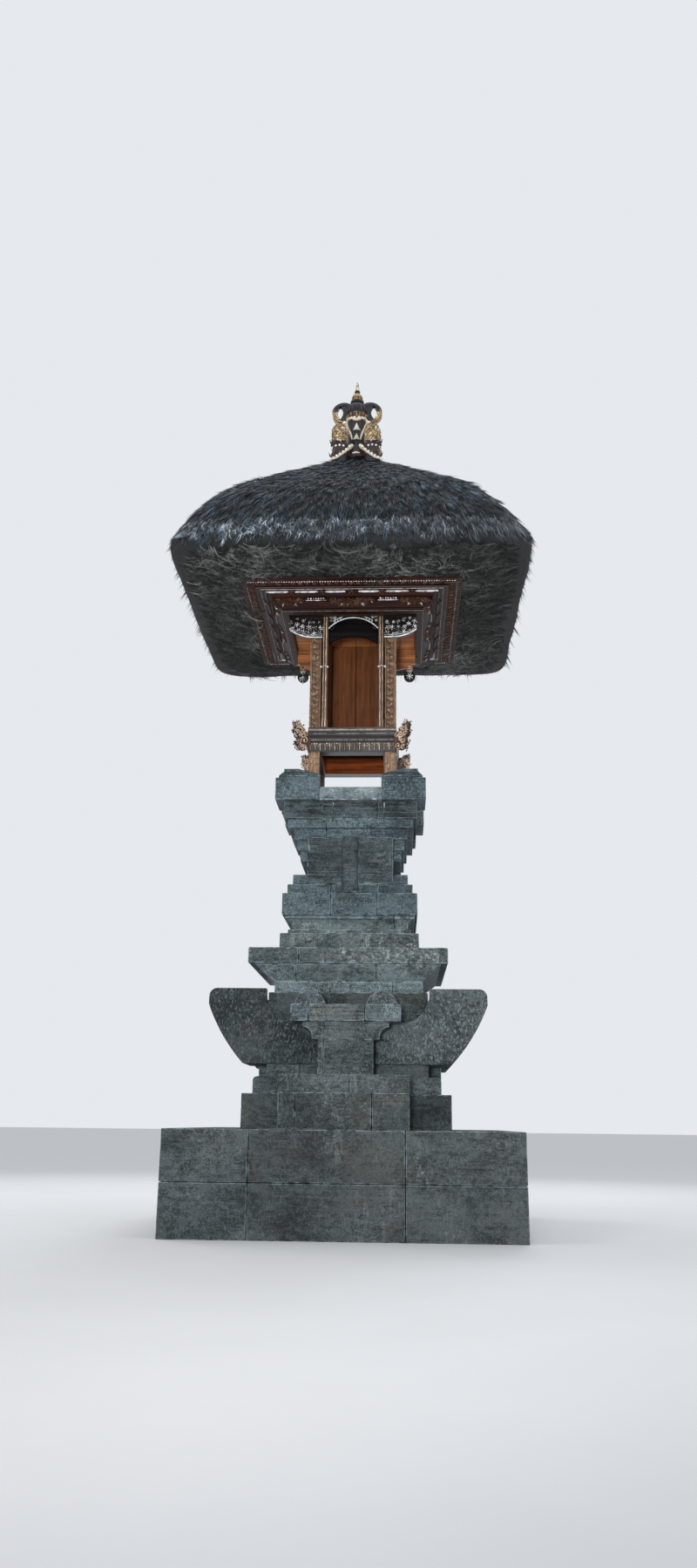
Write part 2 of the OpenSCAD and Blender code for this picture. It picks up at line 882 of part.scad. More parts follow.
// Section of the cornice frame. From its flat underside it goes out and up by an edge, a slanted
// panel, a carved band, a hollow, a soffit and a lip.
module cornice_section() {
    in = cornice_in_w / 2;
    b = in + cornice_beam_w;
    out = b + cornice_out;
    slant = [b + cornice_fillet + cornice_slant_w, cornice_edge + cornice_slant_h];
    band = [slant[0] + cornice_fillet, slant[1] + cornice_band];
    lip = [out - cornice_soffit, cornice_h - cornice_lip];
    cove = [band[0] + cornice_fillet + cornice_cove_r, band[1]];
    mirror([1, 0]) difference() {
        polygon([[in, 0], [b, 0], [b, cornice_edge], [b + cornice_fillet, cornice_edge], slant,
                 [band[0], slant[1]], band, [cove[0], band[1]],
                 [cove[0], lip[1] - cornice_fillet], [lip[0], lip[1] - cornice_fillet], lip,
                 [out, lip[1]], [out, cornice_h], [in, cornice_h]]);
        translate(cove) circle(cornice_cove_r);
    }
}

// One mitred side of the cornice
module cornice_side(turn) {
    reach = cornice_in_w / 2 + cornice_beam_w + cornice_out + 10;
    color(wood_dark) rotate([0, 0, turn]) intersection() {
        translate([0, 0, cornice_z]) rotate([90, 0, 90])
            translate([0, 0, -reach]) linear_extrude(2 * reach) cornice_section();
        translate([0, 0, cornice_z - 1]) linear_extrude(cornice_h + 2)
            polygon([[0, 0], [-reach, -reach], [reach, -reach]]);
    }
}

// Outline of the thatch: sloping top, rounded shoulders, shallow underside
module thatch_outline() {
    slope_x = thatch_straight;
    slope_y = peak_z - slope_x * tan(thatch_pitch);
    centre_x = slope_x - thatch_r * sin(thatch_pitch);
    centre_y = slope_y - thatch_r * cos(thatch_pitch);
    edge = cornice_in_w / 2 + cornice_beam_w + cornice_out;
    reach = (peak_z - roof_z) / tan(thatch_pitch);
    intersection() {
        union() {
            intersection() {
                translate([centre_x, centre_y]) circle(thatch_r);
                translate([-centre_x, centre_y]) circle(thatch_r);
                translate([-reach, roof_z]) square([2 * reach, slope_y - roof_z]);
            }
            polygon([[-slope_x, slope_y], [slope_x, slope_y], [0, peak_z]]);
        }
        polygon([[-edge, roof_z], [edge, roof_z], [eave_w / 2, roof_z + soffit_rise],
                 [eave_w / 2, peak_z], [-eave_w / 2, peak_z],
                 [-eave_w / 2, roof_z + soffit_rise]]);
    }
}

module thatch() {
    color(fibre) intersection() {
        along_y(-big / 2, big / 2) thatch_outline();
        rotate([0, 0, 90]) along_y(-big / 2, big / 2) thatch_outline();
    }
}

// The peak of the roof, as far out as the finial reaches
module peak_room() {
    intersection() {
        along_y(-big / 2, big / 2) peak_outline();
        rotate([0, 0, 90]) along_y(-big / 2, big / 2) peak_outline();
    }
}

module peak_outline() {
    reach = 2 * finial_foot_out;
    polygon([[-reach, peak_z - reach * tan(thatch_pitch)], [0, peak_z],
             [reach, peak_z - reach * tan(thatch_pitch)]]);
}

// Four feet on the hips of the roof and the column between them
module finial_cap() {
    low = peak_z - finial_foot_out * tan(thatch_pitch);
    at = finial_foot_out - finial_foot_w / 2;
    color(gilt) difference() {
        union() {
            each_corner() translate([at, -at, low]) {
                cylinder(h = peak_z + finial_foot_h - finial_foot_w / 2 - low, d = finial_foot_w);
                translate([0, 0, peak_z + finial_foot_h - finial_foot_w / 2 - low])
                    sphere(d = finial_foot_w);
            }
            course(2 * at, finial_foot_h / 2, peak_z - finial_column_w / 2);
            translate([0, 0, peak_z - finial_column_w / 2])
                cylinder(h = finial_column_h + finial_column_w / 2, d = finial_column_w);
        }
        peak_room();
    }
}

// Outline of the crown loop on the right: a disc with an opening like an eye
module loop_outline() {
    r = loop_h / 2;
    eye_r = (loop_hole_w * loop_hole_w / 4 + loop_hole_h * loop_hole_h) / loop_hole_w;
    eye_z = r + loop_hole_rise;
    difference() {
        intersection() {
            translate([loop_out - r, r]) circle(r);
            translate([crown_r / 2, 0]) square([loop_out, loop_h]);
        }
        intersection() {
            translate([loop_hole_at + loop_hole_w / 2 - eye_r, eye_z]) circle(eye_r);
            translate([loop_hole_at - loop_hole_w / 2 + eye_r, eye_z]) circle(eye_r);
        }
    }
}

module finial_crown() {
    foot_r = finial_column_w / 2 - cup_set;
    color(wood_dark) translate([0, 0, peak_z + finial_column_h]) union() {
        rotate_extrude() polygon([[0, 0], [foot_r, 0], [foot_r - cup_set, cup_foot_h],
                                  [crown_r, crown_h - cup_shoulder_h], [dish_r, crown_h],
                                  [0, crown_h]]);
        for (flip = [0, 1]) mirror([flip, 0, 0])
            along_y(-loop_w / 2, loop_w / 2) loop_outline();
    }
}

module finial_spire() {
    ball_z = dish_h + ball_r * ball_seat;
    ring_z = ball_z + ball_r + ring_h;
    color(gilt) translate([0, 0, peak_z + finial_column_h + crown_h]) union() {
        cylinder(h = dish_h / 2, r1 = dish_foot_r, r2 = dish_r);
        translate([0, 0, dish_h / 2]) cylinder(h = dish_h / 2, r = dish_r);
        translate([0, 0, ball_z]) sphere(ball_r);
        translate([0, 0, ball_z]) cylinder(h = ring_z - ball_z, r = ring_r);
        translate([0, 0, ring_z]) cylinder(h = tip_h, r1 = tip_r, r2 = tip_end_r);
    }
}

plinth();
base_course();
step_course();
die_foot();
die();
wing_at(1, 0);  // wing_front_left
wing_at(0, 0);  // wing_front_right
wing_at(1, 1);  // wing_back_left
wing_at(0, 1);  // wing_back_right
bay_panels();
bay_corbels();
bay_beams();
bay_bosses();
bed_course();
slope_course();
slab();
pedestal_step();
pedestal_cove();
pedestal_block();
pedestal_cap();
neck();
neck_panels();
corbel();
tray();
parapets();
corner_horns();
posts();
floor_frame();
floor_boards();
back_wall();
side_walls();
stiles();
header();
fretwork();
corner_leaves();
ceiling();
cornice_side(0);  // cornice_front
cornice_side(90);  // cornice_right
cornice_side(180);  // cornice_back
cornice_side(270);  // cornice_left
thatch();
finial_cap();
finial_crown();
finial_spire();
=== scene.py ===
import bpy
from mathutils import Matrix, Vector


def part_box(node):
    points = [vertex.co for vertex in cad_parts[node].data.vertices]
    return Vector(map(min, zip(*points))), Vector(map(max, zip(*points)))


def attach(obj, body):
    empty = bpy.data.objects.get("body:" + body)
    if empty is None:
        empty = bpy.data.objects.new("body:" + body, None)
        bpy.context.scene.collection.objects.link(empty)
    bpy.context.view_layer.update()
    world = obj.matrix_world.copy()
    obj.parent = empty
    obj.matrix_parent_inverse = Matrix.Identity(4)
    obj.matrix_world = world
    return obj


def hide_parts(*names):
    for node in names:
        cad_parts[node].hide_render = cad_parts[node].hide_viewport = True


bl_info = {
    "name": "Thatched Stone Shrine",
    "version": (1, 0, 0),
    "blender": (4, 5, 0),
    "location": "View3D > Sidebar > Shrine",
    "description": "Finishes a stone and timber shrine with worn stones, carved wood and thatch",
    "category": "Object",
}

import math
import random

import bmesh
import bpy
from mathutils import Matrix, Vector, noise

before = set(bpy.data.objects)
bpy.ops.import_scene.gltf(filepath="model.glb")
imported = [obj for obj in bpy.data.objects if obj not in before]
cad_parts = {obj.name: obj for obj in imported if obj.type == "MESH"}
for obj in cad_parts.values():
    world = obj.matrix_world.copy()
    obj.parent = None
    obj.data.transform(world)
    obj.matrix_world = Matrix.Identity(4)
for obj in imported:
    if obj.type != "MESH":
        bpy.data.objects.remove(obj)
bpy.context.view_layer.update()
MM = 0.001
X, Y, Z = 0, 1, 2
OUT, DOWN, UP = (0, -1, 0), (0, 0, -1), (0, 0, 1)
SHARP = math.radians(24)
FLAT = math.radians(1)
WELD = 0.02 * MM


# Settings that a user would change


def a_length(label, text, mm, low, high):
    """A length, given in millimetres."""
    return bpy.props.FloatProperty(name=label, description=text, default=mm * MM, min=low * MM,
                                   max=high * MM, unit="LENGTH", subtype="DISTANCE")


def a_density(label, text, tufts):
    return bpy.props.IntProperty(name=label, description=text, default=tufts, min=0, max=4000)


def an_angle(label, text, degrees):
    return bpy.props.FloatProperty(name=label, description=text, default=math.radians(degrees),
                                   subtype="ANGLE", unit="ROTATION")


def a_colour(label, text, *rgb):
    return bpy.props.FloatVectorProperty(name=label, description=text, default=rgb,
                                         subtype="COLOR", min=0, max=1)


class StoneSettings(bpy.types.PropertyGroup):
    """Sizes and colours of the stone base."""
    joint: a_length("Joint", "Width of the joint between two blocks", 2.2, 0, 10)
    arris: a_length("Arris", "Width of the worn edge of a block", 2.6, 0.5, 10)
    chip: a_length("Chips", "Depth of the deepest chip along an edge", 9, 0, 30)
    step: a_length("Edge step", "Length of one step along a worn edge", 11, 4, 50)
    dark: a_colour("Dark stone", "Colour of the darker courses", 0.058, 0.074, 0.080)
    pale: a_colour("Pale stone", "Colour of the paler courses", 0.072, 0.095, 0.103)


class ThatchSettings(bpy.types.PropertyGroup):
    """Sizes and colours of the palm fibre roof."""
    top: a_density("Top tufts", "Tufts on a square metre of the slopes", 1500)
    under: a_density("Under tufts", "Tufts on a square metre of the underside", 1500)
    fringe: a_length("Fringe step", "Distance between two locks of the fringe", 13, 4, 50)
    lumps: a_length("Lumps", "Height of the lumps in the thatch", 11, 0, 30)
    hip: bpy.props.FloatProperty(
        name="Hip", description="How square the roof is in plan, from 2 for round",
        default=14, min=2, max=60)
    dark: a_colour("Fibre", "Colour of the fibre", 0.026, 0.030, 0.034)
    # Painted sheen: this pale colour at the eaves stands for the sheen of the fringe fibres where
    # they face the light.
    pale: a_colour("Fibre sheen at the eaves", "Colour of the fibre at the eaves", 0.105, 0.124, 0.142)
    earthy: a_colour("Matted fibre", "Colour of the matted fibre on the underside",
                     0.048, 0.049, 0.048)


class TimberSettings(bpy.types.PropertyGroup):
    """Colours of the timber."""
    oiled: a_colour("Posts", "Colour of the posts", 0.20, 0.115, 0.068)
    pale: a_colour("Stiles", "Colour of the front stiles", 0.24, 0.155, 0.105)
    red: a_colour("Boards", "Colour of the boards of the niche", 0.215, 0.052, 0.013)
    orange: a_colour("Ceiling", "Colour of the ceiling boards", 0.40, 0.160, 0.062)
    black: a_colour("Lacquer", "Colour of the lacquered mouldings", 0.045, 0.040, 0.040)
    gilt: a_colour("Gilt", "Colour of the rubbed ridges", 0.42, 0.30, 0.17)
    # Painted highlight: this pale colour paints the glints of light on the ridges of the glossy
    # black lacquer, on the fretwork, the cornice beads and the floor mouldings.
    silver: a_colour("Highlight", "Colour of the bright ridges of the fretwork", 0.50, 0.50, 0.51)


class StageSettings(bpy.types.PropertyGroup):
    """The camera, the floor and the light."""
    place: bpy.props.FloatVectorProperty(
        name="Camera", description="Place of the camera",
        default=(0.2178, -5.25, 0.4268), subtype="TRANSLATION", unit="LENGTH")
    pan: an_angle("Pan", "Turn of the camera to the left", 2.638)
    pitch: an_angle("Pitch", "Rise of the camera's line of sight", 16.57)
    roll: an_angle("Roll", "Roll of the camera", 0.64)
    lens: bpy.props.FloatProperty(
        name="Lens", description="Focal length on a 36 mm sensor", default=26.15, min=10, max=200)
    floor: a_colour("Floor", "Colour of the floor", 0.66, 0.665, 0.67)


# Shader maths


class Wire:
    """A socket of a node tree. Arithmetic on it adds Math nodes."""

    def __init__(self, tree, socket):
        self.tree, self.socket = tree, socket

    def math(self, operation, first, second=0.0):
        return self.tree.node("Math", {"operation": operation}, {0: first, 1: second})

    def __add__(self, other):
        return self.math("ADD", self, other)

    def __radd__(self, other):
        return self.math("ADD", other, self)

    def __sub__(self, other):
        return self.math("SUBTRACT", self, other)

    def __rsub__(self, other):
        return self.math("SUBTRACT", other, self)

    def __mul__(self, other):
        return self.math("MULTIPLY", self, other)

    def __rmul__(self, other):
        return self.math("MULTIPLY", other, self)

    def __truediv__(self, other):
        return self.math("DIVIDE", self, other)

    def __pow__(self, other):
        return self.math("POWER", self, other)

    def __abs__(self):
        return self.math("ABSOLUTE", self)

    def between(self, low, high):
        """0 below low, 1 above high and smooth in between."""
        return self.tree.node("MapRange", {"interpolation_type": "SMOOTHSTEP"},
                              {"Value": self, "From Min": low, "From Max": high})


class Shader:
    """The node tree of a material or of the world."""

    def __init__(self, owner):
        owner.use_nodes = True
        self.owner, self.tree = owner, owner.node_tree
        self.tree.nodes.clear()

    def node(self, kind, settings, sockets, out=0):
        """Adds one node. Settings come first, then a value or a link for each socket."""
        made = self.tree.nodes.new("ShaderNode" + kind)
        for key, value in settings.items():
            setattr(made, key, value)
        for key, value in sockets.items():
            socket = made.inputs[key]
            if isinstance(value, Wire):
                self.tree.links.new(value.socket, socket)
            elif socket.type == "RGBA" and len(value) == 3:
                socket.default_value = (*value, 1)
            else:
                socket.default_value = value
        return Wire(self, made.outputs[out]) if made.outputs else None


class Recipe(Shader):
    """The nodes of one finish, in the coordinates of the object."""

    def __init__(self, name):
        super().__init__(bpy.data.materials.new(name))
        self.place = self.node("TexCoord", {}, {}, "Object")

    def axes(self, *numbers):
        """The place along some of the axes X, Y and Z, numbered from 0."""
        return [self.node("SeparateXYZ", {}, {0: self.place}, number) for number in numbers]

    def noise(self, scale, detail=2.0, stretch=(1, 1, 1), turn=(0, 0, 0), rough=0.5, warp=0.0):
        """Values of a noise field from 0 to 1, with its pattern stretched along the axes."""
        place = self.node("Mapping", {}, {"Vector": self.place, "Scale": stretch, "Rotation": turn})
        return self.node("TexNoise", {}, {"Vector": place, "Scale": scale, "Detail": detail,
                                          "Roughness": rough, "Distortion": warp})

    def mix(self, share, first, second, blend="MIX"):
        """Two colours mixed by a share."""
        return self.node("Mix", {"data_type": "RGBA", "blend_type": blend, "clamp_factor": True},
                         {0: share, 6: first, 7: second}, 2)

    def mask(self, name):
        """A mask that is stored on the mesh."""
        return self.node("Attribute", {"attribute_name": name}, {}, "Fac")

    def finish(self, height, depth, **sockets):
        """The material itself, with a bump from the height in metres."""
        if height is not None:
            sockets["Normal"] = self.node("Bump", {}, {"Height": height, "Distance": depth,
                                                       "Strength": 1.0})
        named = {key.replace("_", " "): value for key, value in sockets.items()}
        self.node("OutputMaterial", {}, {"Surface": self.node("BsdfPrincipled", {}, named)})
        return self.owner


def shade(colour, *factors):
    """A colour made darker or brighter, by one factor or by one for each channel."""
    return [c * factor for c, factor in zip(colour, factors * 3)]


def stone_finish(name, base, saw=0.3, lime=0.0, brown=0.0, stipple=0.5):
    """Dark volcanic stone: clouds, pores, specks, chisel dots, saw lines and lime runs.

    Each block has a tone and a hue of its own, stored on the mesh."""
    r = Recipe(name)
    deep, dark, light, bright = (shade(base, factor) for factor in (0.18, 0.34, 2.1, 5.5))
    cloud = r.noise(3.4, 5.0, (1, 1, 1.6), rough=0.72, warp=0.4)
    mottle = r.noise(38, 6.0, (1, 1, 1.8), rough=0.82)
    grain = r.noise(190, 3.0, rough=0.75)
    pits = r.noise(150, 3.0, (1, 1, 1.5), rough=0.75, warp=0.3)
    dots = r.noise(140, 1.0, (1, 1, 0.5), (0, math.radians(20), 0)).between(0.54, 0.64)
    dots = dots * r.noise(9, 3.0).between(0.30, 0.56)
    lines = r.noise(7, 4.0, (0.5, 0.5, 14), rough=0.8)
    sawn = lines.between(0.52, 0.62) * r.noise(4, 2.0).between(0.38, 0.58) * saw
    cuts = (1 - lines).between(0.53, 0.62) * r.noise(5, 2.0).between(0.38, 0.6) * saw
    veil = r.noise(5, 4.0, (1, 1, 1.5), rough=0.65).between(0.42, 0.62)
    colour = r.mix((cloud * 0.6 + mottle * 0.4).between(0.43, 0.57), dark, shade(base, 1.6))
    colour = r.mix(veil * mottle.between(0.42, 0.62) * 0.8, colour, light)
    colour = r.mix(sawn * 0.8, colour, shade(base, 2.8))
    colour = r.mix(cuts * 0.9, colour, deep)
    colour = r.mix(dots * stipple, colour, shade(base, 3.6))
    colour = r.mix(grain.between(0.56, 0.68) * (0.45 + veil * 0.55), colour, bright)
    colour = r.mix(pits.between(0.53, 0.64) * 0.75, colour, deep)
    colour = r.mix(r.mask("tone") * 0.9, colour, (0.45, 0.45, 0.45), "MULTIPLY")
    colour = r.mix(r.mask("hue") * (0.12 + brown), colour, (1.10, 0.92, 0.80), "MULTIPLY")
    if brown:
        rust = r.noise(3.5, 3.0, rough=0.6).between(0.48, 0.66) * brown
        colour = r.mix(rust * mottle.between(0.30, 0.6) * 0.7, colour, (0.125, 0.095, 0.068))
    if lime:
        runs = r.noise(30, 4.0, (1, 1, 0.2), rough=0.7, warp=0.8).between(0.54, 0.68)
        film = r.noise(60, 5.0, (1, 1, 2.0), rough=0.8).between(0.44, 0.64)
        patch = r.noise(3.0, 4.0, rough=0.65).between(0.44, 0.62)
        crust = (runs * 0.6 + film * 0.5) * (0.10 + patch) * lime
        colour = r.mix(crust, colour, (0.30, 0.35, 0.33))
        vein = r.noise(9, 4.0, (1, 1, 0.45), (0, math.radians(-35), 0), rough=0.6, warp=0.5)
        vein = 1 - abs(vein - 0.5).between(0.004, 0.011)
        colour = r.mix(vein * patch * film * lime, colour, (0.42, 0.47, 0.44))
    worn = r.mask("worn") * r.noise(24, 4.0, rough=0.7).between(0.44, 0.56)
    colour = r.mix(worn * (0.55 + 0.3 * lime), colour, shade(base, 4.2))
    height = (grain * 0.6 + pits * -0.9 + dots * 0.4 * stipple + sawn * 0.6 - cuts * 0.6
              + mottle * 0.8)
    return r.finish(height, 2.8 * MM, Base_Color=colour, Roughness=0.60 + grain * 0.25, IOR=1.5)


# Meshes


def gather(mesh, name):
    """Links a finished mesh as an object."""
    made = bpy.data.objects.new(name, mesh)
    bpy.context.scene.collection.objects.link(made)
    return made


def settle(piece, slot, material, nodes=(), body="root"):
    """Gives a finished piece its material and its body, and hides the nodes that it stands for. The
    slot is not used.
    """
    if material is not None:
        piece.data.materials.clear()
        piece.data.materials.append(material)
    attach(piece, body)
    if nodes:
        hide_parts(*nodes)
    return piece


def face_outward(mesh):
    """Turns the faces of a closed mesh outward."""
    shell = bmesh.new()
    shell.from_mesh(mesh)
    bmesh.ops.recalc_face_normals(shell, faces=shell.faces)
    shell.to_mesh(mesh)
    shell.free()
    return mesh


def node_shell(node):
    """A copy of a node's mesh with its triangles merged back into whole faces."""
    shell = bmesh.new()
    shell.from_mesh(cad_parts[node].data)
    bmesh.ops.remove_doubles(shell, verts=shell.verts, dist=WELD)
    bmesh.ops.dissolve_limit(shell, angle_limit=FLAT, verts=shell.verts,
                             edges=shell.edges, delimit=set())
    return shell


def cut_blocks(shell, cuts, gap):
    """Cuts a shell at planes, given as (axis, place), and leaves a joint at each."""
    for axis, place in cuts:
        halves = []
        for side in (-1, 1):
            half = shell.copy()
            normal, at = Vector(), Vector()
            normal[axis], at[axis] = side, place + side * gap / 2
            geometry = half.verts[:] + half.edges[:] + half.faces[:]
            found = bmesh.ops.bisect_plane(half, geom=geometry, dist=0.001 * MM, plane_co=at,
                                           plane_no=normal, clear_inner=True)
            rim = [g for g in found["geom_cut"] if isinstance(g, bmesh.types.BMEdge)]
            rim = [e for e in rim if e.is_valid and e.is_boundary]
            if rim:
                bmesh.ops.holes_fill(half, edges=rim, sides=0)
            halves.append(half)
        shell.free()
        shell = halves[0]
        other = bpy.data.meshes.new("half")
        halves[1].to_mesh(other)
        halves[1].free()
        shell.from_mesh(other)
        bpy.data.meshes.remove(other)
    bmesh.ops.recalc_face_normals(shell, faces=shell.faces)
    return shell


def bent(edge):
    return len(edge.link_faces) == 2 and edge.calc_face_angle(0.0) > SHARP


def wear_edges(shell, arris, chip, step, seed, often=0.5):
    """Breaks the sharp edges: an uneven narrow bevel with a chip here and there."""
    worn = shell.faces.layers.float.new("worn")
    for edge in [e for e in shell.edges if bent(e)]:
        cuts = int(edge.calc_length() / step)
        if cuts > 0:
            bmesh.ops.subdivide_edges(shell, edges=[edge], cuts=cuts)
    sharp = [e for e in shell.edges if bent(e)]
    made = bmesh.ops.bevel(shell, geom=sharp, offset=arris, offset_type="OFFSET", segments=2,
                           profile=0.5, affect="EDGES", clamp_overlap=True)
    strip = set(made["faces"])
    shell.normal_update()
    moves = {}
    shift = Vector((seed * 7.31, seed * 3.17, seed * 5.71))
    for vertex in {v for f in strip for v in f.verts}:
        inward = Vector()
        flat = Vector()
        for face in vertex.link_faces:
            if face in strip:
                inward -= face.normal
            else:
                flat += face.normal
        if flat.length > 0.01:
            flat.normalize()
            inward -= inward.dot(flat) * flat
        if inward.length < 0.05:
            continue
        small = noise.noise(vertex.co / 0.021 + shift) * 0.5 + 0.5
        large = noise.noise(vertex.co / 0.045 - shift)
        large += 0.5 * noise.noise(vertex.co / 0.018 + 2 * shift)
        depth = arris * 0.6 * small + chip * max(0.0, large - often)
        moves[vertex] = inward.normalized() * depth
    for vertex, move in moves.items():
        vertex.co += move
    for face in strip:
        face[worn] = 1.0
    for edge in shell.edges:
        one = len([f for f in edge.link_faces if f in strip]) == 1
        edge.smooth = not (one or edge.calc_face_angle(0.0) > SHARP)
    for face in shell.faces:
        face.smooth = True
    bmesh.ops.triangulate(shell, faces=[f for f in shell.faces if len(f.verts) > 4])
    return shell


def tell_apart(shell, seed, dull=0.0):
    """Stores a tone and a hue on each block of a shell, in the order of their places."""
    rng = random.Random(seed * 13 + 5)
    shell.verts.layers.float.new("tone")
    hue = shell.verts.layers.float.new("hue")
    tone = shell.verts.layers.float["tone"]
    left, blocks = set(shell.verts), []
    while left:
        block = [left.pop()]
        for vertex in block:
            for other in [edge.other_vert(vertex) for edge in vertex.link_edges]:
                if other in left:
                    left.remove(other)
                    block.append(other)
        blocks.append((min(tuple(round(c, 4) for c in vertex.co) for vertex in block), block))
    for _, block in sorted(blocks, key=lambda row: row[0]):
        tint = (dull + rng.random() ** 1.5 * 0.45, rng.random() ** 2.0)
        for vertex in block:
            vertex[tone], vertex[hue] = tint


def worn_stone(node, material, slot, cuts=(), seed=1, arris=None, chip=None, often=0.45, dull=0.0):
    """One node of stone or timber, cut into its blocks and worn at its edges."""
    s = bpy.context.scene.shrine_stone
    shell = cut_blocks(node_shell(node), cuts, s.joint)
    wear_edges(shell, arris or s.arris, s.chip if chip is None else chip, s.step, seed, often)
    tell_apart(shell, seed, dull)
    mesh = bpy.data.meshes.new(node)
    shell.to_mesh(mesh)
    shell.free()
    return settle(gather(mesh, node + "_stone"), slot, material, [node])


# What repeats


ON_MARKS = "Copies on marks"


class Growth:
    """A geometry node group that puts copies of small meshes on marks or on a surface."""

    KINDS = {"Geometry": "NodeSocketGeometry", "Copies": "NodeSocketCollection",
             "Material": "NodeSocketMaterial", "Seed": "NodeSocketInt"}

    def __init__(self, name, inputs):
        self.tree = bpy.data.node_groups.new(name, "GeometryNodeTree")
        face = self.tree.interface
        for label in ("Geometry", *inputs):
            face.new_socket(label, in_out="INPUT",
                            socket_type=self.KINDS.get(label, "NodeSocketFloat"))
        face.new_socket("Geometry", in_out="OUTPUT", socket_type="NodeSocketGeometry")
        self.given = self.tree.nodes.new("NodeGroupInput").outputs

    def node(self, kind, settings, sockets, out=0):
        """Adds one node. Settings come first, then a value or a link for each socket."""
        made = self.tree.nodes.new(kind)
        for key, value in settings.items():
            setattr(made, key, value)
        for key, value in sockets.items():
            if isinstance(value, bpy.types.NodeSocket):
                self.tree.links.new(value, made.inputs[key])
            else:
                made.inputs[key].default_value = value
        return made.outputs[out]

    def named(self, name):
        """A vector that is stored on the marks or on the surface."""
        return self.node("GeometryNodeInputNamedAttribute", {"data_type": "FLOAT_VECTOR"},
                         {"Name": name})

    def chance(self, low, high, salt):
        """A random number for each copy."""
        seed = self.node("ShaderNodeMath", {"operation": "ADD"}, {0: self.given["Seed"], 1: salt})
        return self.node("FunctionNodeRandomValue", {"data_type": "FLOAT"},
                         {2: low, 3: high, 8: seed}, 1)

    def either_way(self, name, salt):
        """A random number for each copy, as far below 0 as above it."""
        far = self.given[name]
        below = self.node("ShaderNodeMath", {"operation": "MULTIPLY"}, {0: far, 1: -1.0})
        return self.chance(below, far, salt)

    def copies(self, points, normal, size, tilt, turn):
        """Puts the copies on points, with X along the mark's way and Z along its normal."""
        facing = self.node("FunctionNodeAlignRotationToVector", {"axis": "Z"}, {"Vector": normal})
        facing = self.node("FunctionNodeAlignRotationToVector", {"axis": "X", "pivot_axis": "Z"},
                           {"Rotation": facing, "Vector": self.named("way")})
        swing = self.node("ShaderNodeCombineXYZ", {}, {0: 0.0, 1: tilt, 2: turn})
        swing = self.node("FunctionNodeEulerToRotation", {}, {0: swing})
        facing = self.node("FunctionNodeRotateRotation", {"rotation_space": "LOCAL"},
                           {0: facing, 1: swing})
        kinds = self.node("GeometryNodeCollectionInfo", {},
                          {"Collection": self.given["Copies"], "Separate Children": True,
                           "Reset Children": True})
        which = self.node("FunctionNodeRandomValue", {"data_type": "INT"},
                          {4: 0, 5: 64, 8: self.given["Seed"]}, 2)
        made = self.node("GeometryNodeInstanceOnPoints", {},
                         {"Points": points, "Instance": kinds, "Pick Instance": True,
                          "Instance Index": which, "Rotation": facing, "Scale": size})
        made = self.node("GeometryNodeStoreNamedAttribute", {"domain": "INSTANCE"},
                         {"Geometry": made, "Name": "tone", "Value": self.chance(0.0, 1.0, 5)})
        return made

    def close(self, made):
        """Ends the group with a plain mesh in one material."""
        made = self.node("GeometryNodeRealizeInstances", {}, {0: made})
        made = self.node("GeometryNodeSetMaterial", {}, {0: made, 2: self.given["Material"]})
        end = self.tree.nodes.new("NodeGroupOutput")
        self.tree.links.new(made, end.inputs[0])
        return self.tree


def strewn_group():
    """Copies strewn over a surface: fibre tufts."""
    g = Growth("Tufts on a surface", ["Copies", "Material", "Seed", "Density", "Smallest",
                                      "Largest", "Least lean", "Most lean", "Swing"])
    strewn = g.tree.nodes.new("GeometryNodeDistributePointsOnFaces")
    for source, target in ((0, 0), ("Density", "Density"), ("Seed", "Seed")):
        g.tree.links.new(g.given[source], strewn.inputs[target])
    size = g.chance(g.given["Smallest"], g.given["Largest"], 11)
    tilt = g.chance(g.given["Least lean"], g.given["Most lean"], 23)
    turn = g.either_way("Swing", 37)
    return g.close(g.copies(strewn.outputs[0], strewn.outputs[1], size, tilt, turn))


def row_group():
    """Copies on marks, each with its own way, normal and size. It is made once."""
    if ON_MARKS in bpy.data.node_groups:
        return bpy.data.node_groups[ON_MARKS]
    g = Growth(ON_MARKS, ["Copies", "Material", "Seed", "Lean", "Swing"])
    spots = g.node("GeometryNodeMeshToPoints", {}, {0: g.given[0]})
    turn = g.either_way("Swing", 37)
    tilt = g.either_way("Lean", 23)
    return g.close(g.copies(spots, g.named("facing"), g.named("size"), tilt, turn))


def grow(name, base, tree, slot, nodes=(), **values):
    """Runs a node group on a mesh and keeps the result as a plain piece."""
    holder = bpy.data.objects.new(name + "_seeds", base)
    bpy.context.scene.collection.objects.link(holder)
    modifier = holder.modifiers.new(name, "NODES")
    modifier.node_group = tree
    for item in tree.interface.items_tree:
        key = item.name.replace(" ", "_").lower()
        if item.in_out == "INPUT" and key in values:
            modifier[item.identifier] = values[key]
    graph = bpy.context.evaluated_depsgraph_get()
    mesh = bpy.data.meshes.new_from_object(holder.evaluated_get(graph))
    mesh.name = name
    holder.modifiers.clear()
    bpy.data.objects.remove(holder)
    mesh.shade_smooth()
    return settle(gather(mesh, name), slot, None, nodes)


def shelf(name, meshes):
    """A collection of small meshes to copy, outside the scene."""
    made = bpy.data.collections.new(name)
    for count, mesh in enumerate(meshes):
        made.objects.link(bpy.data.objects.new(f"{name}_{count}", mesh))
    return made


def plain_mesh(name, points, faces):
    mesh = bpy.data.meshes.new(name)
    mesh.from_pydata(points, [], faces)
    return mesh


def stamp(mesh, name, values, kind="FLOAT"):
    """Stores one value for each vertex under a name."""
    layer = mesh.attributes.new(name, kind, "POINT")
    key = "vector" if kind == "FLOAT_VECTOR" else "value"
    flat = [c for value in values for c in value] if kind == "FLOAT_VECTOR" else list(values)
    layer.data.foreach_set(key, flat)


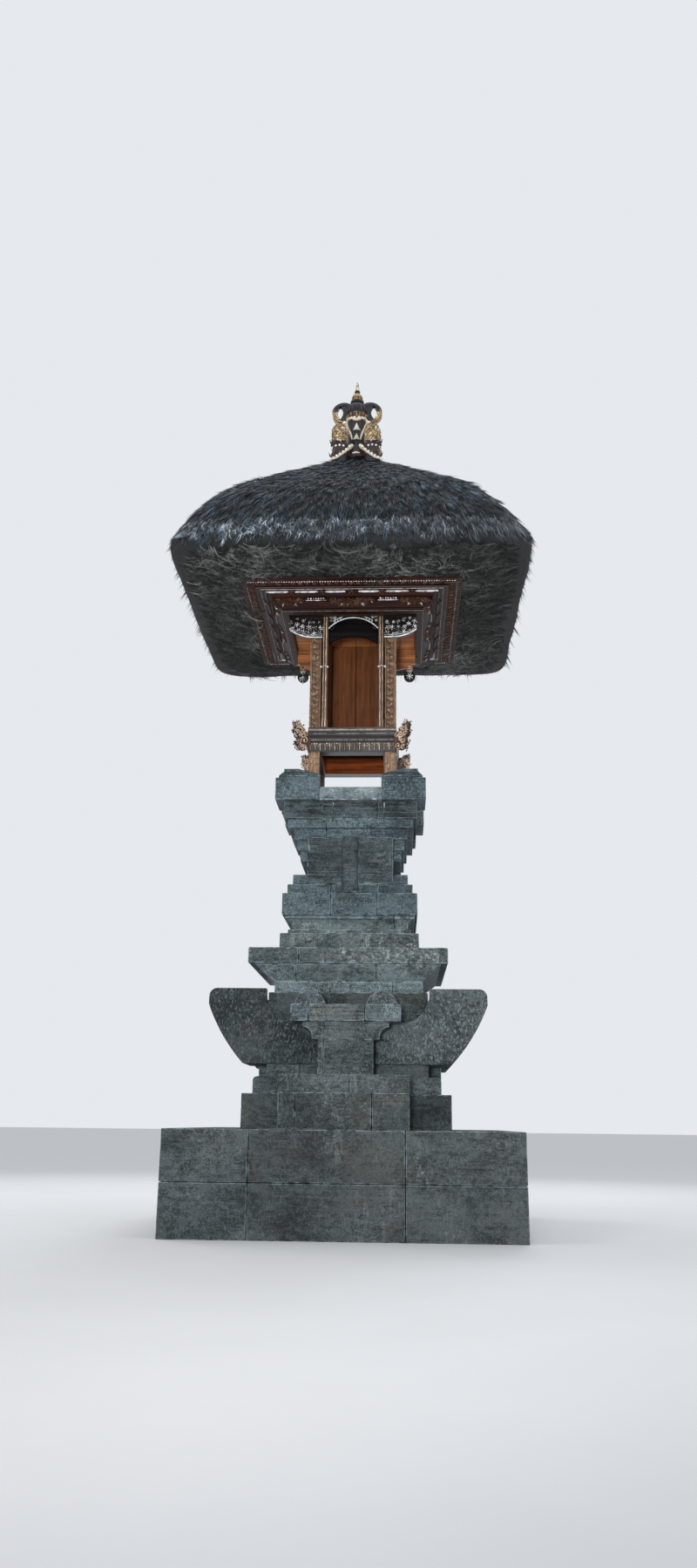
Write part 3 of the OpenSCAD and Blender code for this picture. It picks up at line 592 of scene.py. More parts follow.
def marks(name, rows):
    """Marks for a row group, each a place, a way, a normal and a size."""
    mesh = plain_mesh(name, [row[0] for row in rows], [])
    stamp(mesh, "way", [row[1] for row in rows], "FLOAT_VECTOR")
    stamp(mesh, "facing", [row[2] for row in rows], "FLOAT_VECTOR")
    stamp(mesh, "size", [(row[3],) * 3 if isinstance(row[3], float) else row[3] for row in rows],
          "FLOAT_VECTOR")
    return mesh


class Carving:
    """A mesh that is put together from closed ribs of three sides and from beads.

    What is added to it is first turned by its matrix."""

    def __init__(self):
        self.points, self.faces, self.high = [], [], []
        self.turn = Matrix.Identity(3)

    def rib(self, path, widths, up=UP, rise=0.5, high=None):
        """One rib along a path. It ends in a point where its width is 0."""
        up = (self.turn @ Vector(up)).normalized()
        path = [self.turn @ Vector(p) for p in path]
        if isinstance(widths, float):
            widths = [widths] * len(path)
        if isinstance(high, (int, float)):
            high = [high] * len(path)
        rings = []
        for n, (at, wide) in enumerate(zip(path, widths)):
            way = path[min(n + 1, len(path) - 1)] - path[max(n - 1, 0)]
            side = up.cross(way).normalized() * wide / 2
            first = len(self.points)
            if wide == 0:
                self.points.append(tuple(at))
                self.high.append(high[n] if high else 0.6)
                rings.append([first])
                continue
            back = up * wide * 0.15
            self.points += [tuple(at - side - back), tuple(at + side - back),
                            tuple(at + up * wide * rise)]
            self.high += [high[n]] * 3 if high else [0.0, 0.0, 1.0]
            rings.append([first, first + 1, first + 2])
        for ring in (rings[0], rings[-1][::-1]):
            if len(ring) == 3:
                self.faces.append(tuple(ring[::-1]))
        for a, b in zip(rings, rings[1:]):
            for k in range(3):
                m = (k + 1) % 3
                if len(a) == 1:
                    self.faces.append((a[0], b[m], b[k]))
                elif len(b) == 1:
                    self.faces.append((a[k], a[m], b[0]))
                else:
                    self.faces.append((a[k], a[m], b[m], b[k]))

    def bar(self, half, y, z, wide, up, rise, high):
        """A straight rib along a face at a distance from the middle."""
        self.rib([(-half, -y, z), (half, -y, z)], wide, up, rise, high)

    def bead(self, at, radius, up=UP, sides=6, tall=0.8):
        """A dome with a flat back."""
        at, up = self.turn @ Vector(at), (self.turn @ Vector(up)).normalized()
        facing = up.to_track_quat("Z", "Y").to_matrix()
        first = len(self.points)
        for lift, wide, high in ((-0.2, 1.0, 0.1), (0.55 * tall, 0.8, 0.7)):
            for k in range(sides):
                a = 2 * math.pi * k / sides
                spot = Vector((math.cos(a) * wide, math.sin(a) * wide, lift)) * radius
                self.points.append(tuple(at + facing @ spot))
                self.high.append(high)
        self.points.append(tuple(at + up * radius * tall))
        self.high.append(1.0)
        self.faces.append(tuple(first + k for k in range(sides))[::-1])
        for k in range(sides):
            m = (k + 1) % sides
            self.faces.append((first + k, first + m, first + sides + m, first + sides + k))
            self.faces.append((first + sides + k, first + sides + m, first + 2 * sides))

    def mesh(self, name):
        made = plain_mesh(name, self.points, self.faces)
        stamp(made, "tip", self.high)
        return face_outward(made)

    def piece(self, name, material, slot="carved_wood"):
        """The carving as a piece of its own, where its points lie."""
        mesh = self.mesh(name)
        stamp(mesh, "tone", [0.5] * len(mesh.vertices))
        return settle(gather(mesh, name), slot, material)


def scroll(hand, turns=1.3, steps=11):
    """A curl that ends in a bead, with a leaf on its back."""
    c = Carving()
    path, widths = [], []
    for share in (n / steps for n in range(steps + 1)):
        a, far = 2 * math.pi * turns * share, 0.46 * (1 - 0.78 * share)
        path.append((far * math.cos(a), hand * far * math.sin(a), 0))
        widths.append(0.10 + 0.10 * math.sin(math.pi * (0.15 + 0.8 * share)))
    c.rib(path, widths, rise=0.8)
    c.bead((0, 0, 0), 0.12, sides=5)
    c.rib([(0.42, 0, 0), (0.56, -hand * 0.22, 0.06), (0.46, -hand * 0.52, 0)], [0.08, 0.24, 0],
          rise=0.6)
    return c.mesh("scroll")


def leaf(lobes=2):
    """A pointed leaf along X with a ridge and side lobes."""
    c = Carving()
    c.rib([(-0.5, 0, 0), (-0.2, 0, 0.04), (0.15, 0, 0.05), (0.5, 0, 0)], [0.10, 0.34, 0.30, 0])
    for n in range(lobes):
        for side in (-1, 1):
            x = -0.3 + 0.3 * n
            c.rib([(x, side * 0.08, 0), (x + 0.16, side * 0.26, 0.05), (x + 0.34, side * 0.24, 0)],
                  [0.08, 0.15, 0], rise=0.6)
    return c.mesh("leaf")


def rays(name, rows, core, lift, sides):
    """Petals that spread from a bead.

    Each row is an angle, three places along it, its height and widths, and its rise."""
    c = Carving()
    for a, (root, belly, tip), (high, first, widest), rise in rows:
        x, y = math.cos(a), math.sin(a)
        c.rib([(root * x, root * y, 0), (belly * x, belly * y, high), (tip * x, tip * y, 0)],
              [first, widest, 0], rise=rise)
    c.bead((0, 0, lift), core, sides=sides)
    return c.mesh(name)


def flower(petals=6):
    """A round flower with a bead in its middle."""
    return rays("flower", [(2 * math.pi * n / petals, (0.12, 0.32, 0.5), (0.05, 0.12, 0.26), 0.5)
                           for n in range(petals)], 0.16, 0.02, 6)


def palmette(leaves=5):
    """A fan of leaves that opens along X."""
    rows = []
    for n in range(leaves):
        a = math.radians(-62 + 124 * n / (leaves - 1))
        far = 0.95 - 0.35 * abs(a)
        rows.append((a, (0, far * 0.6, far), (0.06, 0.06, 0.22), 0.6))
    return rays("palmette", rows, 0.12, 0.03, 5)


def bead():
    c = Carving()
    c.bead((0, 0, 0), 0.5)
    return c.mesh("bead")


def run(start, end, step, way, facing, size):
    """Marks at even steps along a line."""
    start, end = Vector(start), Vector(end)
    count = max(1, round((end - start).length / step))
    return [(tuple(start + (end - start) * (n + 0.5) / count), way, facing, size)
            for n in range(count)]


def quarter_turn(quarter):
    return Matrix.Rotation(quarter * math.pi / 2, 3, "Z")


def around(rows, quarters=(0, 1, 2, 3)):
    """The marks of the front, turned to other sides."""
    return [(*(tuple(turn @ Vector(part)) for part in row[:3]), row[3])
            for turn in map(quarter_turn, quarters) for row in rows]


def turned(*carvings, quarters=(0, 1, 2, 3)):
    """Turns the carvings to one side of the shrine after the other."""
    for quarter in quarters:
        for carving in carvings:
            carving.turn = quarter_turn(quarter)
        yield quarter
    for carving in carvings:
        carving.turn = Matrix.Identity(3)


def carve(name, rows, kinds, material, seed, swing=0.0, slot="carved_wood"):
    """Small carvings on marks, kept as one piece."""
    grow(name, marks("marks", rows), row_group(), slot, copies=shelf(name, kinds),
         material=material, seed=seed, swing=swing)


def hair_tuft(name, seed, hairs, length, width, spread, droop, steps=2, curl=0.0):
    """A tuft of thin tapered fibres that lie along X and are closed at both ends."""
    rng = random.Random(seed)
    made = Carving()
    for _ in range(hairs):
        at = Vector((rng.uniform(-0.3, 0.1) * length, rng.uniform(-1, 1) * spread, 0))
        heading = rng.gauss(0, 0.10)
        lift = rng.uniform(0.0, 0.10)
        bend = rng.gauss(0, 0.16) + rng.choice((-1, 1)) * curl
        long = length * rng.uniform(0.6, 1.1)
        thick = width * rng.uniform(0.6, 1.2)
        path, widths = [], []
        for step in range(steps + 1):
            share = step / steps
            path.append(at)
            widths.append(thick * (1 - 0.55 * share) if step < steps else 0)
            way = Vector((math.cos(heading), math.sin(heading), lift - droop * share))
            at = at + way * long / steps
            heading += bend / steps
        made.rib(path, widths, rise=0.55, high=[n / steps for n in range(steps + 1)])
    return made.mesh(name)


# The pieces


class SHRINE_OT_stage(bpy.types.Operator):
    """Sets the camera, the floor and the light"""
    bl_idname = "shrine.stage"
    bl_label = "Stage"

    def execute(self, context):
        s = context.scene.shrine_stage
        self.camera(context.scene, s)
        self.floor(s)
        for name, place, height, size, power, colour, spread in (
                ("key", (-0.25, -5.6, 0.75), 2.3, 0.5, 54, (1, 0.98, 0.96), 80),
                ("sun", (-4.5, -3.0, 6.0), 2.4, 2.0, 34, (1, 0.96, 0.92), 120),
                ("fill", (4.0, -3.6, 3.2), 2.2, 3.0, 18, (0.92, 0.96, 1), 120),
                ("back", (1.5, 5.2, 4.6), 2.4, 3.0, 105, (0.94, 0.97, 1), 120),
                ("side", (-5.2, 3.2, 4.0), 2.2, 3.0, 60, (1, 0.98, 0.95), 120)):
            lamp = bpy.data.lights.new(name, "AREA")
            lamp.size, lamp.energy, lamp.color = size, power, colour
            lamp.spread = math.radians(spread)
            towards = Vector((0, 0, height)) - Vector(place)
            made = self.hang(name, lamp)
            made.matrix_world = (Matrix.Translation(place)
                                 @ towards.to_track_quat("-Z", "Y").to_matrix().to_4x4())
            # Mirrored lamps would glare from below, so glossy pieces mirror the pale sky only
            made.visible_glossy = False
        noon = bpy.data.lights.new("noon", "SUN")
        noon.energy, noon.angle, noon.color = 1.6, math.radians(70), (0.96, 0.98, 1)
        self.hang("noon", noon)
        context.scene.world = self.sky()
        context.scene.view_settings.view_transform = "Standard"
        return {"FINISHED"}

    def hang(self, name, data):
        made = bpy.data.objects.new(name, data)
        bpy.context.scene.collection.objects.link(made)
        return made

    def camera(self, scene, s):
        """The camera that took the photo: turned, then tilted up, then rolled."""
        right = Vector((math.cos(s.pan), math.sin(s.pan), 0))
        forward = Vector((-math.sin(s.pan) * math.cos(s.pitch),
                          math.cos(s.pan) * math.cos(s.pitch), math.sin(s.pitch)))
        up = right.cross(forward)
        across = math.cos(s.roll) * right + math.sin(s.roll) * up
        upward = math.cos(s.roll) * up - math.sin(s.roll) * right
        lens = bpy.data.cameras.new("camera")
        lens.lens, lens.sensor_width, lens.clip_end = s.lens, 36, 200
        scene.camera = self.hang("camera", lens)
        turned_to = Matrix((across, upward, -forward)).transposed()
        scene.camera.matrix_world = Matrix.Translation(s.place) @ turned_to.to_4x4()

    def floor(self, s, half=60):
        """A plain pale floor."""
        ground = gather(plain_mesh("floor", [(-half, -half, 0), (half, -half, 0), (half, half, 0),
                                             (-half, half, 0)], [(0, 1, 2, 3)]), "floor")
        r = Recipe("floor")
        tint = r.mix(r.noise(3, 3.0).between(0.3, 0.7) * 0.3, s.floor, shade(s.floor, 0.94))
        ground.data.materials.append(r.finish(None, 0, Base_Color=tint, Roughness=0.8))

    def sky(self):
        """A soft sky that is paler where the camera or a glossy piece sees it."""
        world = bpy.data.worlds.new("sky")
        r = Shader(world)
        seen, mirrored = (r.node("LightPath", {}, {}, ray) for ray in ("Is Camera Ray",
                                                                       "Is Glossy Ray"))
        soft, pale = (r.node("Background", {}, {"Color": colour, "Strength": strength})
                      for colour, strength in (((0.80, 0.87, 1), 0.24), ((0.86, 0.89, 0.93), 0.92)))
        both = r.node("MixShader", {}, {0: seen.math("MAXIMUM", seen, mirrored), 1: soft, 2: pale})
        r.node("OutputWorld", {}, {"Surface": both})
        return world


class SHRINE_OT_courses(bpy.types.Operator):
    """Makes the stone courses of the base, the pedestal, the neck and the tray"""
    bl_idname = "shrine.courses"
    bl_label = "Stone courses"

    def execute(self, context):
        s = context.scene.shrine_stone
        plain = stone_finish("dark_stone", s.dark, saw=0.4, lime=0.35, stipple=0.3, brown=0.25)
        sawn = stone_finish("sawn_stone", shade(s.pale, 0.85), saw=1.0, stipple=0.15)
        limed = stone_finish("limed_stone", s.pale, saw=0.4, lime=0.9, stipple=0.2)
        chalky = stone_finish("chalky_stone", shade(s.pale, 1.3), saw=0.5, lime=1.0,
                              stipple=0.2)
        cool = stone_finish("cool_stone", shade(s.pale, 0.92, 0.98, 1.02), saw=0.3, stipple=0.35)
        rows = [
            ("plinth", plain, "dark_stone", [(X, -0.36), (X, 0.24), (Y, -0.2), (Y, 0.31),
                                             (Z, 0.205)]),
            ("base_course", plain, "dark_stone", [(X, -0.19), (X, 0.11), (Y, -0.17), (Y, 0.14)]),
            ("step_course", plain, "dark_stone", [(X, 0.02), (Y, -0.05)]),
            ("die_foot", plain, "dark_stone", [(X, -0.2), (Y, 0.18)]),
            ("die", plain, "dark_stone", []),
            ("bed_course", chalky, "pale_stone", [(X, -0.08), (X, 0.19), (Y, 0.1)]),
            ("slope_course", chalky, "dark_stone", [(X, -0.225), (X, 0.12), (Y, 0.16)]),
            ("slab", limed, "pale_stone", [(X, -0.21), (X, 0.26), (Y, -0.14)]),
            ("pedestal_step", limed, "dark_stone", [(X, 0.06), (Y, 0.11)]),
            ("pedestal_cove", limed, "dark_stone", [(X, 0.195), (Y, -0.08)]),
            ("pedestal_block", cool, "pale_stone", [(X, -0.084), (X, 0.121), (Y, 0.07)]),
            ("pedestal_cap", cool, "dark_stone", [(X, -0.084), (X, 0.121), (Y, -0.06)]),
            ("neck", cool, "dark_stone", []),
            ("corbel", cool, "dark_stone", [(X, -0.11), (Y, 0.09)]),
            ("tray", sawn, "pale_stone", [(X, -0.080), (X, 0.152), (Y, -0.1), (Y, 0.12)]),
            ("parapets", chalky, "dark_stone", []),
        ]
        dull = {"slab": 0.85, "pedestal_step": 0.5, "base_course": 0.95, "neck": 0.35, "tray": 0.6,
                "pedestal_cap": 0.5, "pedestal_block": 0.5, "die": 0.5, "plinth": 0.5,
                "corbel": 0.35}
        for seed, (node, material, slot, cuts) in enumerate(rows, 1):
            worn_stone(node, material, slot, cuts, seed, dull=dull.get(node, 0.0))
        worn_stone("neck_panels", sawn, "pale_stone", (), 31, chip=16 * MM, often=0.2, dull=0.35)
        worn_stone("corner_horns", cool, "pale_stone", (), 32, dull=0.3)
        return {"FINISHED"}


class SHRINE_OT_bays(bpy.types.Operator):
    """Makes the corner wings and the stones in the middle of each face"""
    bl_idname = "shrine.bays"
    bl_label = "Wings and bays"

    def execute(self, context):
        s = context.scene.shrine_stone
        dressed = stone_finish("dressed_stone", s.dark, saw=0.05, stipple=0.9, brown=0.2)
        sawn = stone_finish("bay_stone", s.pale, saw=0.6, stipple=0.25, brown=0.65)
        # Painted shade: the front-left wing gets a darker tone than the others, for the shade it
        # stands in.
        for seed, wing in enumerate(("front_left", "front_right", "back_left", "back_right"), 41):
            worn_stone("wing_" + wing, dressed, "pale_stone", (), seed, often=0.6,
                       dull=1.2 if wing == "front_left" else 0.3)
        worn_stone("bay_panels", sawn, "pale_stone", [(X, -0.090)], 51, dull=0.15)
        worn_stone("bay_corbels", sawn, "dark_stone", (), 52)
        worn_stone("bay_beams", sawn, "pale_stone", [(X, -0.152), (X, 0.078)], 53)
        worn_stone("bay_bosses", dressed, "dark_stone", (), 54, often=0.7)
        return {"FINISHED"}


class SHRINE_OT_thatch(bpy.types.Operator):
    """Makes the palm fibre roof: a lumpy body, combed slopes, a fringe and a matted underside"""
    bl_idname = "shrine.thatch"
    bl_label = "Thatch"

    def execute(self, context):
        s = context.scene.shrine_thatch
        top, under = self.profile()
        self.body(s, top, under)
        tufts, locks = strewn_group(), row_group()
        combed = self.tufts("combed", range(5), 6, 0.095, 0.0034, 0.008, 0.05)
        matted = self.tufts("matted", range(10, 15), 7, 0.120, 0.0030, 0.007, 0.02, 5, 1.7)
        fringe = self.tufts("fringe", range(20, 25), 8, 0.125, 0.0038, 0.008, 0.08, 3)
        # Each tuft has its own tone; the blue-grey pale end of the range paints the sky's sheen on
        # the slopes.
        slope = self.fibre("slope_fibre", shade(s.dark, 0.20), shade(s.dark, 3.7, 5.1, 6.2), 0.50)
        # Each lock has its own tone; the pale end, far paler than the fibre, paints the sheen of
        # the fringe.
        tip = self.fibre("fringe_fibre", shade(s.dark, 0.4), shade(s.pale, 7.0), 0.42)
        mat = self.fibre("matted_fibre", shade(s.earthy, 0.12), shade(s.earthy, 5.6), 0.6)
        for side, label in enumerate(("front", "right", "back", "left")):
            patch = self.patch(s, top, side, 0.02, 0.95 if side else 1.0, False)
            grow(f"thatch_top_{label}", patch, tufts, "palm_fibre", copies=combed, material=slope,
                 seed=side * 7 + 1, density=float(s.top), smallest=0.7, largest=1.25,
                 least_lean=-0.12, most_lean=0.02, swing=0.22)
            below = self.patch(s, under, side, 0.22, 1.0, True)
            grow(f"thatch_under_{label}", below, tufts, "palm_fibre", copies=matted, material=mat,
                 seed=side * 7 + 3, density=float(s.under), smallest=0.6, largest=1.3,
                 least_lean=-0.08, most_lean=0.0, swing=0.25)
            rows = self.fringe_marks(s, top, side)
            grow(f"thatch_fringe_{label}", marks("fringe_marks", rows), locks, "palm_fibre",
                 copies=fringe, material=tip, seed=side * 7 + 5, lean=0.05, swing=0.14)
        return {"FINISHED"}

    def tufts(self, name, seeds, *shape):
        return shelf(name, [hair_tuft(name, seed, *shape) for seed in seeds])

    def profile(self):
        """Half width and height from the peak to the eaves, and on under the eaves."""
        rows = {}
        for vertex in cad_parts["thatch"].data.vertices:
            key = round(vertex.co.z, 4)
            rows[key] = max(rows.get(key, 0), abs(vertex.co.x), abs(vertex.co.y))
        line = [(half, z) for z, half in sorted(rows.items(), reverse=True)]
        eave = max(range(len(line)), key=lambda n: line[n][0])
        return self.resample(line[:eave + 1], 58), self.resample(line[eave:], 14)

    def resample(self, line, count):
        """Points at even distances along a line."""
        ways = [0.0]
        for (a, b), (c, d) in zip(line, line[1:]):
            ways.append(ways[-1] + math.hypot(c - a, d - b))
        made = []
        for n in range(count + 1):
            want = ways[-1] * n / count
            k = max(0, min(len(line) - 2, sum(w <= want for w in ways) - 1))
            share = (want - ways[k]) / max(1e-9, ways[k + 1] - ways[k])
            made.append(tuple(a + share * (b - a) for a, b in zip(line[k], line[k + 1])))
        return made

    def spot(self, s, side, share, half, z):
        """A place on the roof: a share across one side, at a height."""
        root = (abs(share) ** s.hip + 1) ** (1 / s.hip)
        x, y = share * half / root, -half / root
        turn = side * math.pi / 2
        cos, sin = math.cos(turn), math.sin(turn)
        return Vector((x * cos - y * sin, x * sin + y * cos, z))

    def lump(self, s, at):
        """How far the thatch swells at a place."""
        return s.lumps * (noise.noise(at * 4.2) + 0.45 * noise.noise(at * 11.0 + Vector((3, 1, 2))))

    def body(self, s, top, under, across=40):
        """The closed body under the fibres, with the direction of the fibres stored on it."""
        line = top[1:] + under[1:]
        points, lies, low = [tuple(self.spot(s, 0, 0, 0, top[0][1]))], [(0, 0, 0)], [0.0]
        way = 0.0
        for n, (half, z) in enumerate(line):
            before = line[n - 1] if n else top[0]
            way += math.hypot(half - before[0], z - before[1])
            for side in range(4):
                for k in range(across):
                    share = 2 * k / across - 1
                    at = self.spot(s, side, share, half, z)
                    out = Vector((at.x, at.y, 0.6 * half if n < len(top) - 1 else -half))
                    swell = self.lump(s, at) - 4 * MM
                    points.append(tuple(at + out.normalized() * swell))
                    lies.append((share * half + side * 3, way, 0))
                    low.append(min(1.0, n / (len(top) - 1)) + max(0, n - len(top) + 2) * 0.05)
        ring = 4 * across
        faces = [(0, 1 + (k + 1) % ring, 1 + k)[::-1] for k in range(ring)]
        for n in range(len(line) - 1):
            for k in range(ring):
                a, b = 1 + n * ring + k, 1 + n * ring + (k + 1) % ring
                faces.append((a, a + ring, b + ring, b))
        last = 1 + (len(line) - 1) * ring
        points.append((0, 0, line[-1][1]))
        lies.append((0, way + line[-1][0], 0))
        low.append(2.0)
        faces += [(last + k, len(points) - 1, last + (k + 1) % ring) for k in range(ring)]
        mesh = plain_mesh("thatch_body", points, faces)
        stamp(mesh, "lie", lies, "FLOAT_VECTOR")
        stamp(mesh, "low", low)
        mesh.shade_smooth()
        settle(gather(face_outward(mesh), "thatch_body"), "palm_fibre", self.pelt(s), ["thatch"])

    def patch(self, s, line, side, start, end, below, across=24):
        """One side's surface with the way of its fibres, to strew tufts on."""
        points, ways, faces = [], [], []
        last = len(line) - 1
        span = range(int(start * last), int(end * last) + 1)
        for n in span:
            for k in range(across + 1):
                share = 2 * k / across - 1
                at = self.spot(s, side, share, *line[n])
                before = self.spot(s, side, share, *line[max(0, n - 1)])
                way = (self.spot(s, side, share, *line[min(last, n + 1)]) - before).normalized()
                if below:
                    points.append(tuple(at + Vector((0, 0, -self.lump(s, at) * 0.5))))
                    free = min(1.0, max(0.1, 0.1 * (n - 1)))
                    turn = 9 * free * noise.noise(at * 4.3 + Vector((7, 2, 5)))
                    way = Matrix.Rotation(turn, 3, "Z") @ way
                else:
                    out = Vector((at.x, at.y, 0)).normalized()
                    points.append(tuple(at + out * self.lump(s, at)))
                ways.append(tuple(way))
        for n in range(len(span) - 1):
            for k in range(across):
                a = n * (across + 1) + k
                faces.append((a, a + across + 1, a + across + 2, a + 1))
        mesh = plain_mesh("patch", points, faces)
        stamp(mesh, "way", ways, "FLOAT_VECTOR")
        if (mesh.polygons[0].normal.z > 0) == below:
            mesh.flip_normals()
        return mesh

    def fringe_marks(self, s, top, side, layers=5):
        """Locks along the eaves in several rows, ragged where the thatch is worn."""
        rng = random.Random(side + 90)
        rows = []
        steps = int(2 * top[-1][0] / s.fringe)
        reach = (0.9, 0.30, 0.38, 0.30)[side]
        for back in range(layers):
            n = len(top) - 1 - back
            for k in range(steps):
                share = 2 * (k + rng.random()) / steps - 1
                at = self.spot(s, side, share, *top[n])
                above = self.spot(s, side, share, *top[max(0, n - 3)])
                way = (at - above).normalized() + Vector((0, 0, -0.1 if back else -0.35))
                out = Vector((at.x, at.y, 0)).normalized()
                out = (out - out.dot(way) * way / way.length_squared).normalized()
                ragged = 0.55 + 0.45 * noise.noise(at * 6.0) + 0.25 * noise.noise(at * 19.0)
                length = max(0.25, ragged + rng.uniform(-0.2, 0.25))
                if rng.random() < 0.015:
                    length *= 1.5
                at += out * (self.lump(s, at) + rng.uniform(-0.006, 0.002))
                rows.append((tuple(at - way * 0.02), tuple(way), tuple(out),
                             (length * 0.85 * reach, 1.0, 1.0)))
        return rows

    def fibre(self, name, dark, light, rough):
        """Single fibres: each tuft has its own tone, paler towards the tips. On the slopes and at
        the fringe the pale end of the tones is painted sheen.
        """
        r = Recipe(name)
        drift = r.noise(2.6, 3.0, rough=0.6).between(0.35, 0.68)
        clump = r.noise(30, 3.0, rough=0.7).between(0.48, 0.70)
        share = r.mask("tone") ** 4.0 * (0.3 + drift * 0.7) + clump * (0.10 + drift * 0.40)
        colour = r.mix(share + r.mask("tip") * 0.06, dark, light)
        return r.finish(None, 0, Base_Color=colour, Roughness=rough, Specular_IOR_Level=0.6)

    def pelt(self, s):
        """The body between the fibres: dark and combed on top, matted below."""
        r = Recipe("thatch_body")
        lie = r.node("Attribute", {"attribute_name": "lie"}, {}, "Vector")
        comb = r.node("Mapping", {}, {"Vector": lie, "Scale": (260, 9, 1)})
        combed = r.node("TexNoise", {}, {"Vector": comb, "Scale": 1.0, "Detail": 3.0,
                                         "Roughness": 0.6})
        swirl = r.noise(46, 4.0, rough=0.65, warp=3.0)
        patch = r.noise(3.2, 3.0, rough=0.6).between(0.45, 0.68)
        top = r.mix(combed.between(0.3, 0.75), shade(s.dark, 0.25), shade(s.dark, 1.2))
        below = r.mix(swirl.between(0.35, 0.7), shade(s.earthy, 0.2), shade(s.earthy, 0.8))
        below = r.mix(patch * 0.5, below, shade(s.earthy, 1.1))
        turned_in = r.mask("low").between(1.0, 1.06)
        colour = r.mix(turned_in, top, below)
        height = combed * (1 - turned_in) + swirl * turned_in
        return r.finish(height, 9 * MM, Base_Color=colour, Roughness=0.72)


def wood_finish(name, dark, light, along, gloss=0.2, rough=0.5, plank=0.0, inner=None, foot=None,
                shine=0.22, glint=0.5, reach=0.155, zone=None):
    """Oiled wood with its grain along one axis, and the joints of its planks.

    It can have other colours inside the box, below the floor, or in a zone of its own."""
    r = Recipe(name)
    x, y, z = r.axes(X, Y, Z)
    stretch = [62, 62, 62]
    stretch[along] = 2.6
    grain = r.noise(1.0, 4.0, stretch, rough=0.66, warp=0.5)
    fine = r.noise(3.2, 3.0, stretch, rough=0.6)
    stain = r.noise(5, 4.0, rough=0.6).between(0.35, 0.7)
    veins = grain.between(0.34, 0.64)
    colour = r.mix(veins, dark, light)
    if inner:
        far = x.math("MAXIMUM", abs(x), abs(y))
        colour = r.mix(far.between(reach - 2 * MM, reach + 2 * MM), r.mix(veins, *inner), colour)
    if foot:
        colour = r.mix(z.between(2.06, 2.12), r.mix(veins, *foot), colour)
    if zone:
        front, back, floor, *pair = zone
        share = (y.between(front, front + MM) * (1 - y.between(back, back + MM))
                 * z.between(floor, floor + MM))
        colour = r.mix(share, colour, r.mix(veins, *pair))
    colour = r.mix(fine.between(0.5, 0.7) * 0.6, colour, shade(dark, 0.4))
    colour = r.mix(stain * 0.4, colour, shade(dark, 0.7))
    height = grain * 0.6 + fine * 0.4
    if plank:
        gap = abs(x.math("FRACT", x / plank + 40.5) - 0.5).between(0.012, 0.028)
        colour = r.mix(gap, shade(dark, 0.25), colour)
        height = height * 0.3 + gap * 0.7
    colour = r.mix(r.mask("worn") * 0.4, colour, [min(1, c) for c in shade(light, 1.5)])
    return r.finish(height, 0.9 * MM, Base_Color=colour, Roughness=rough, Coat_Weight=gloss,
                    Coat_Roughness=shine, Specular_IOR_Level=glint)


def carved_finish(name, deep, middle, ridge, gloss=0.4, rough=0.45, shine=0.2, ridge_from=0.35, glint=0.5):
    """Painted carving: dark in its hollows and bright on its ridges. On the gilt carvings the
    bright ridges are worn gilt; in the highlight colour they are painted highlights.
    """
    r = Recipe(name)
    high = r.mask("tip")
    patina = r.noise(42, 3.0, rough=0.65)
    colour = r.mix(high.between(0.05, 0.55), deep, middle)
    # The ridge colour is worn gilt on gilt carvings and a painted highlight on lacquered ones.
    ridge_share = (high - ridge_from + r.mask("tone") * 0.3).between(0.25, 0.9) * patina.between(0.36, 0.58)
    return r.finish(patina, 0.5 * MM, Base_Color=r.mix(ridge_share, colour, ridge), Roughness=rough,
                    Coat_Weight=gloss, Coat_Roughness=shine, Specular_IOR_Level=glint)


def dress(material, *nodes):
    """Gives CAD pieces their finish."""
    for node in nodes:
        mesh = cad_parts[node].data
        mesh.materials.clear()
        mesh.materials.append(material)


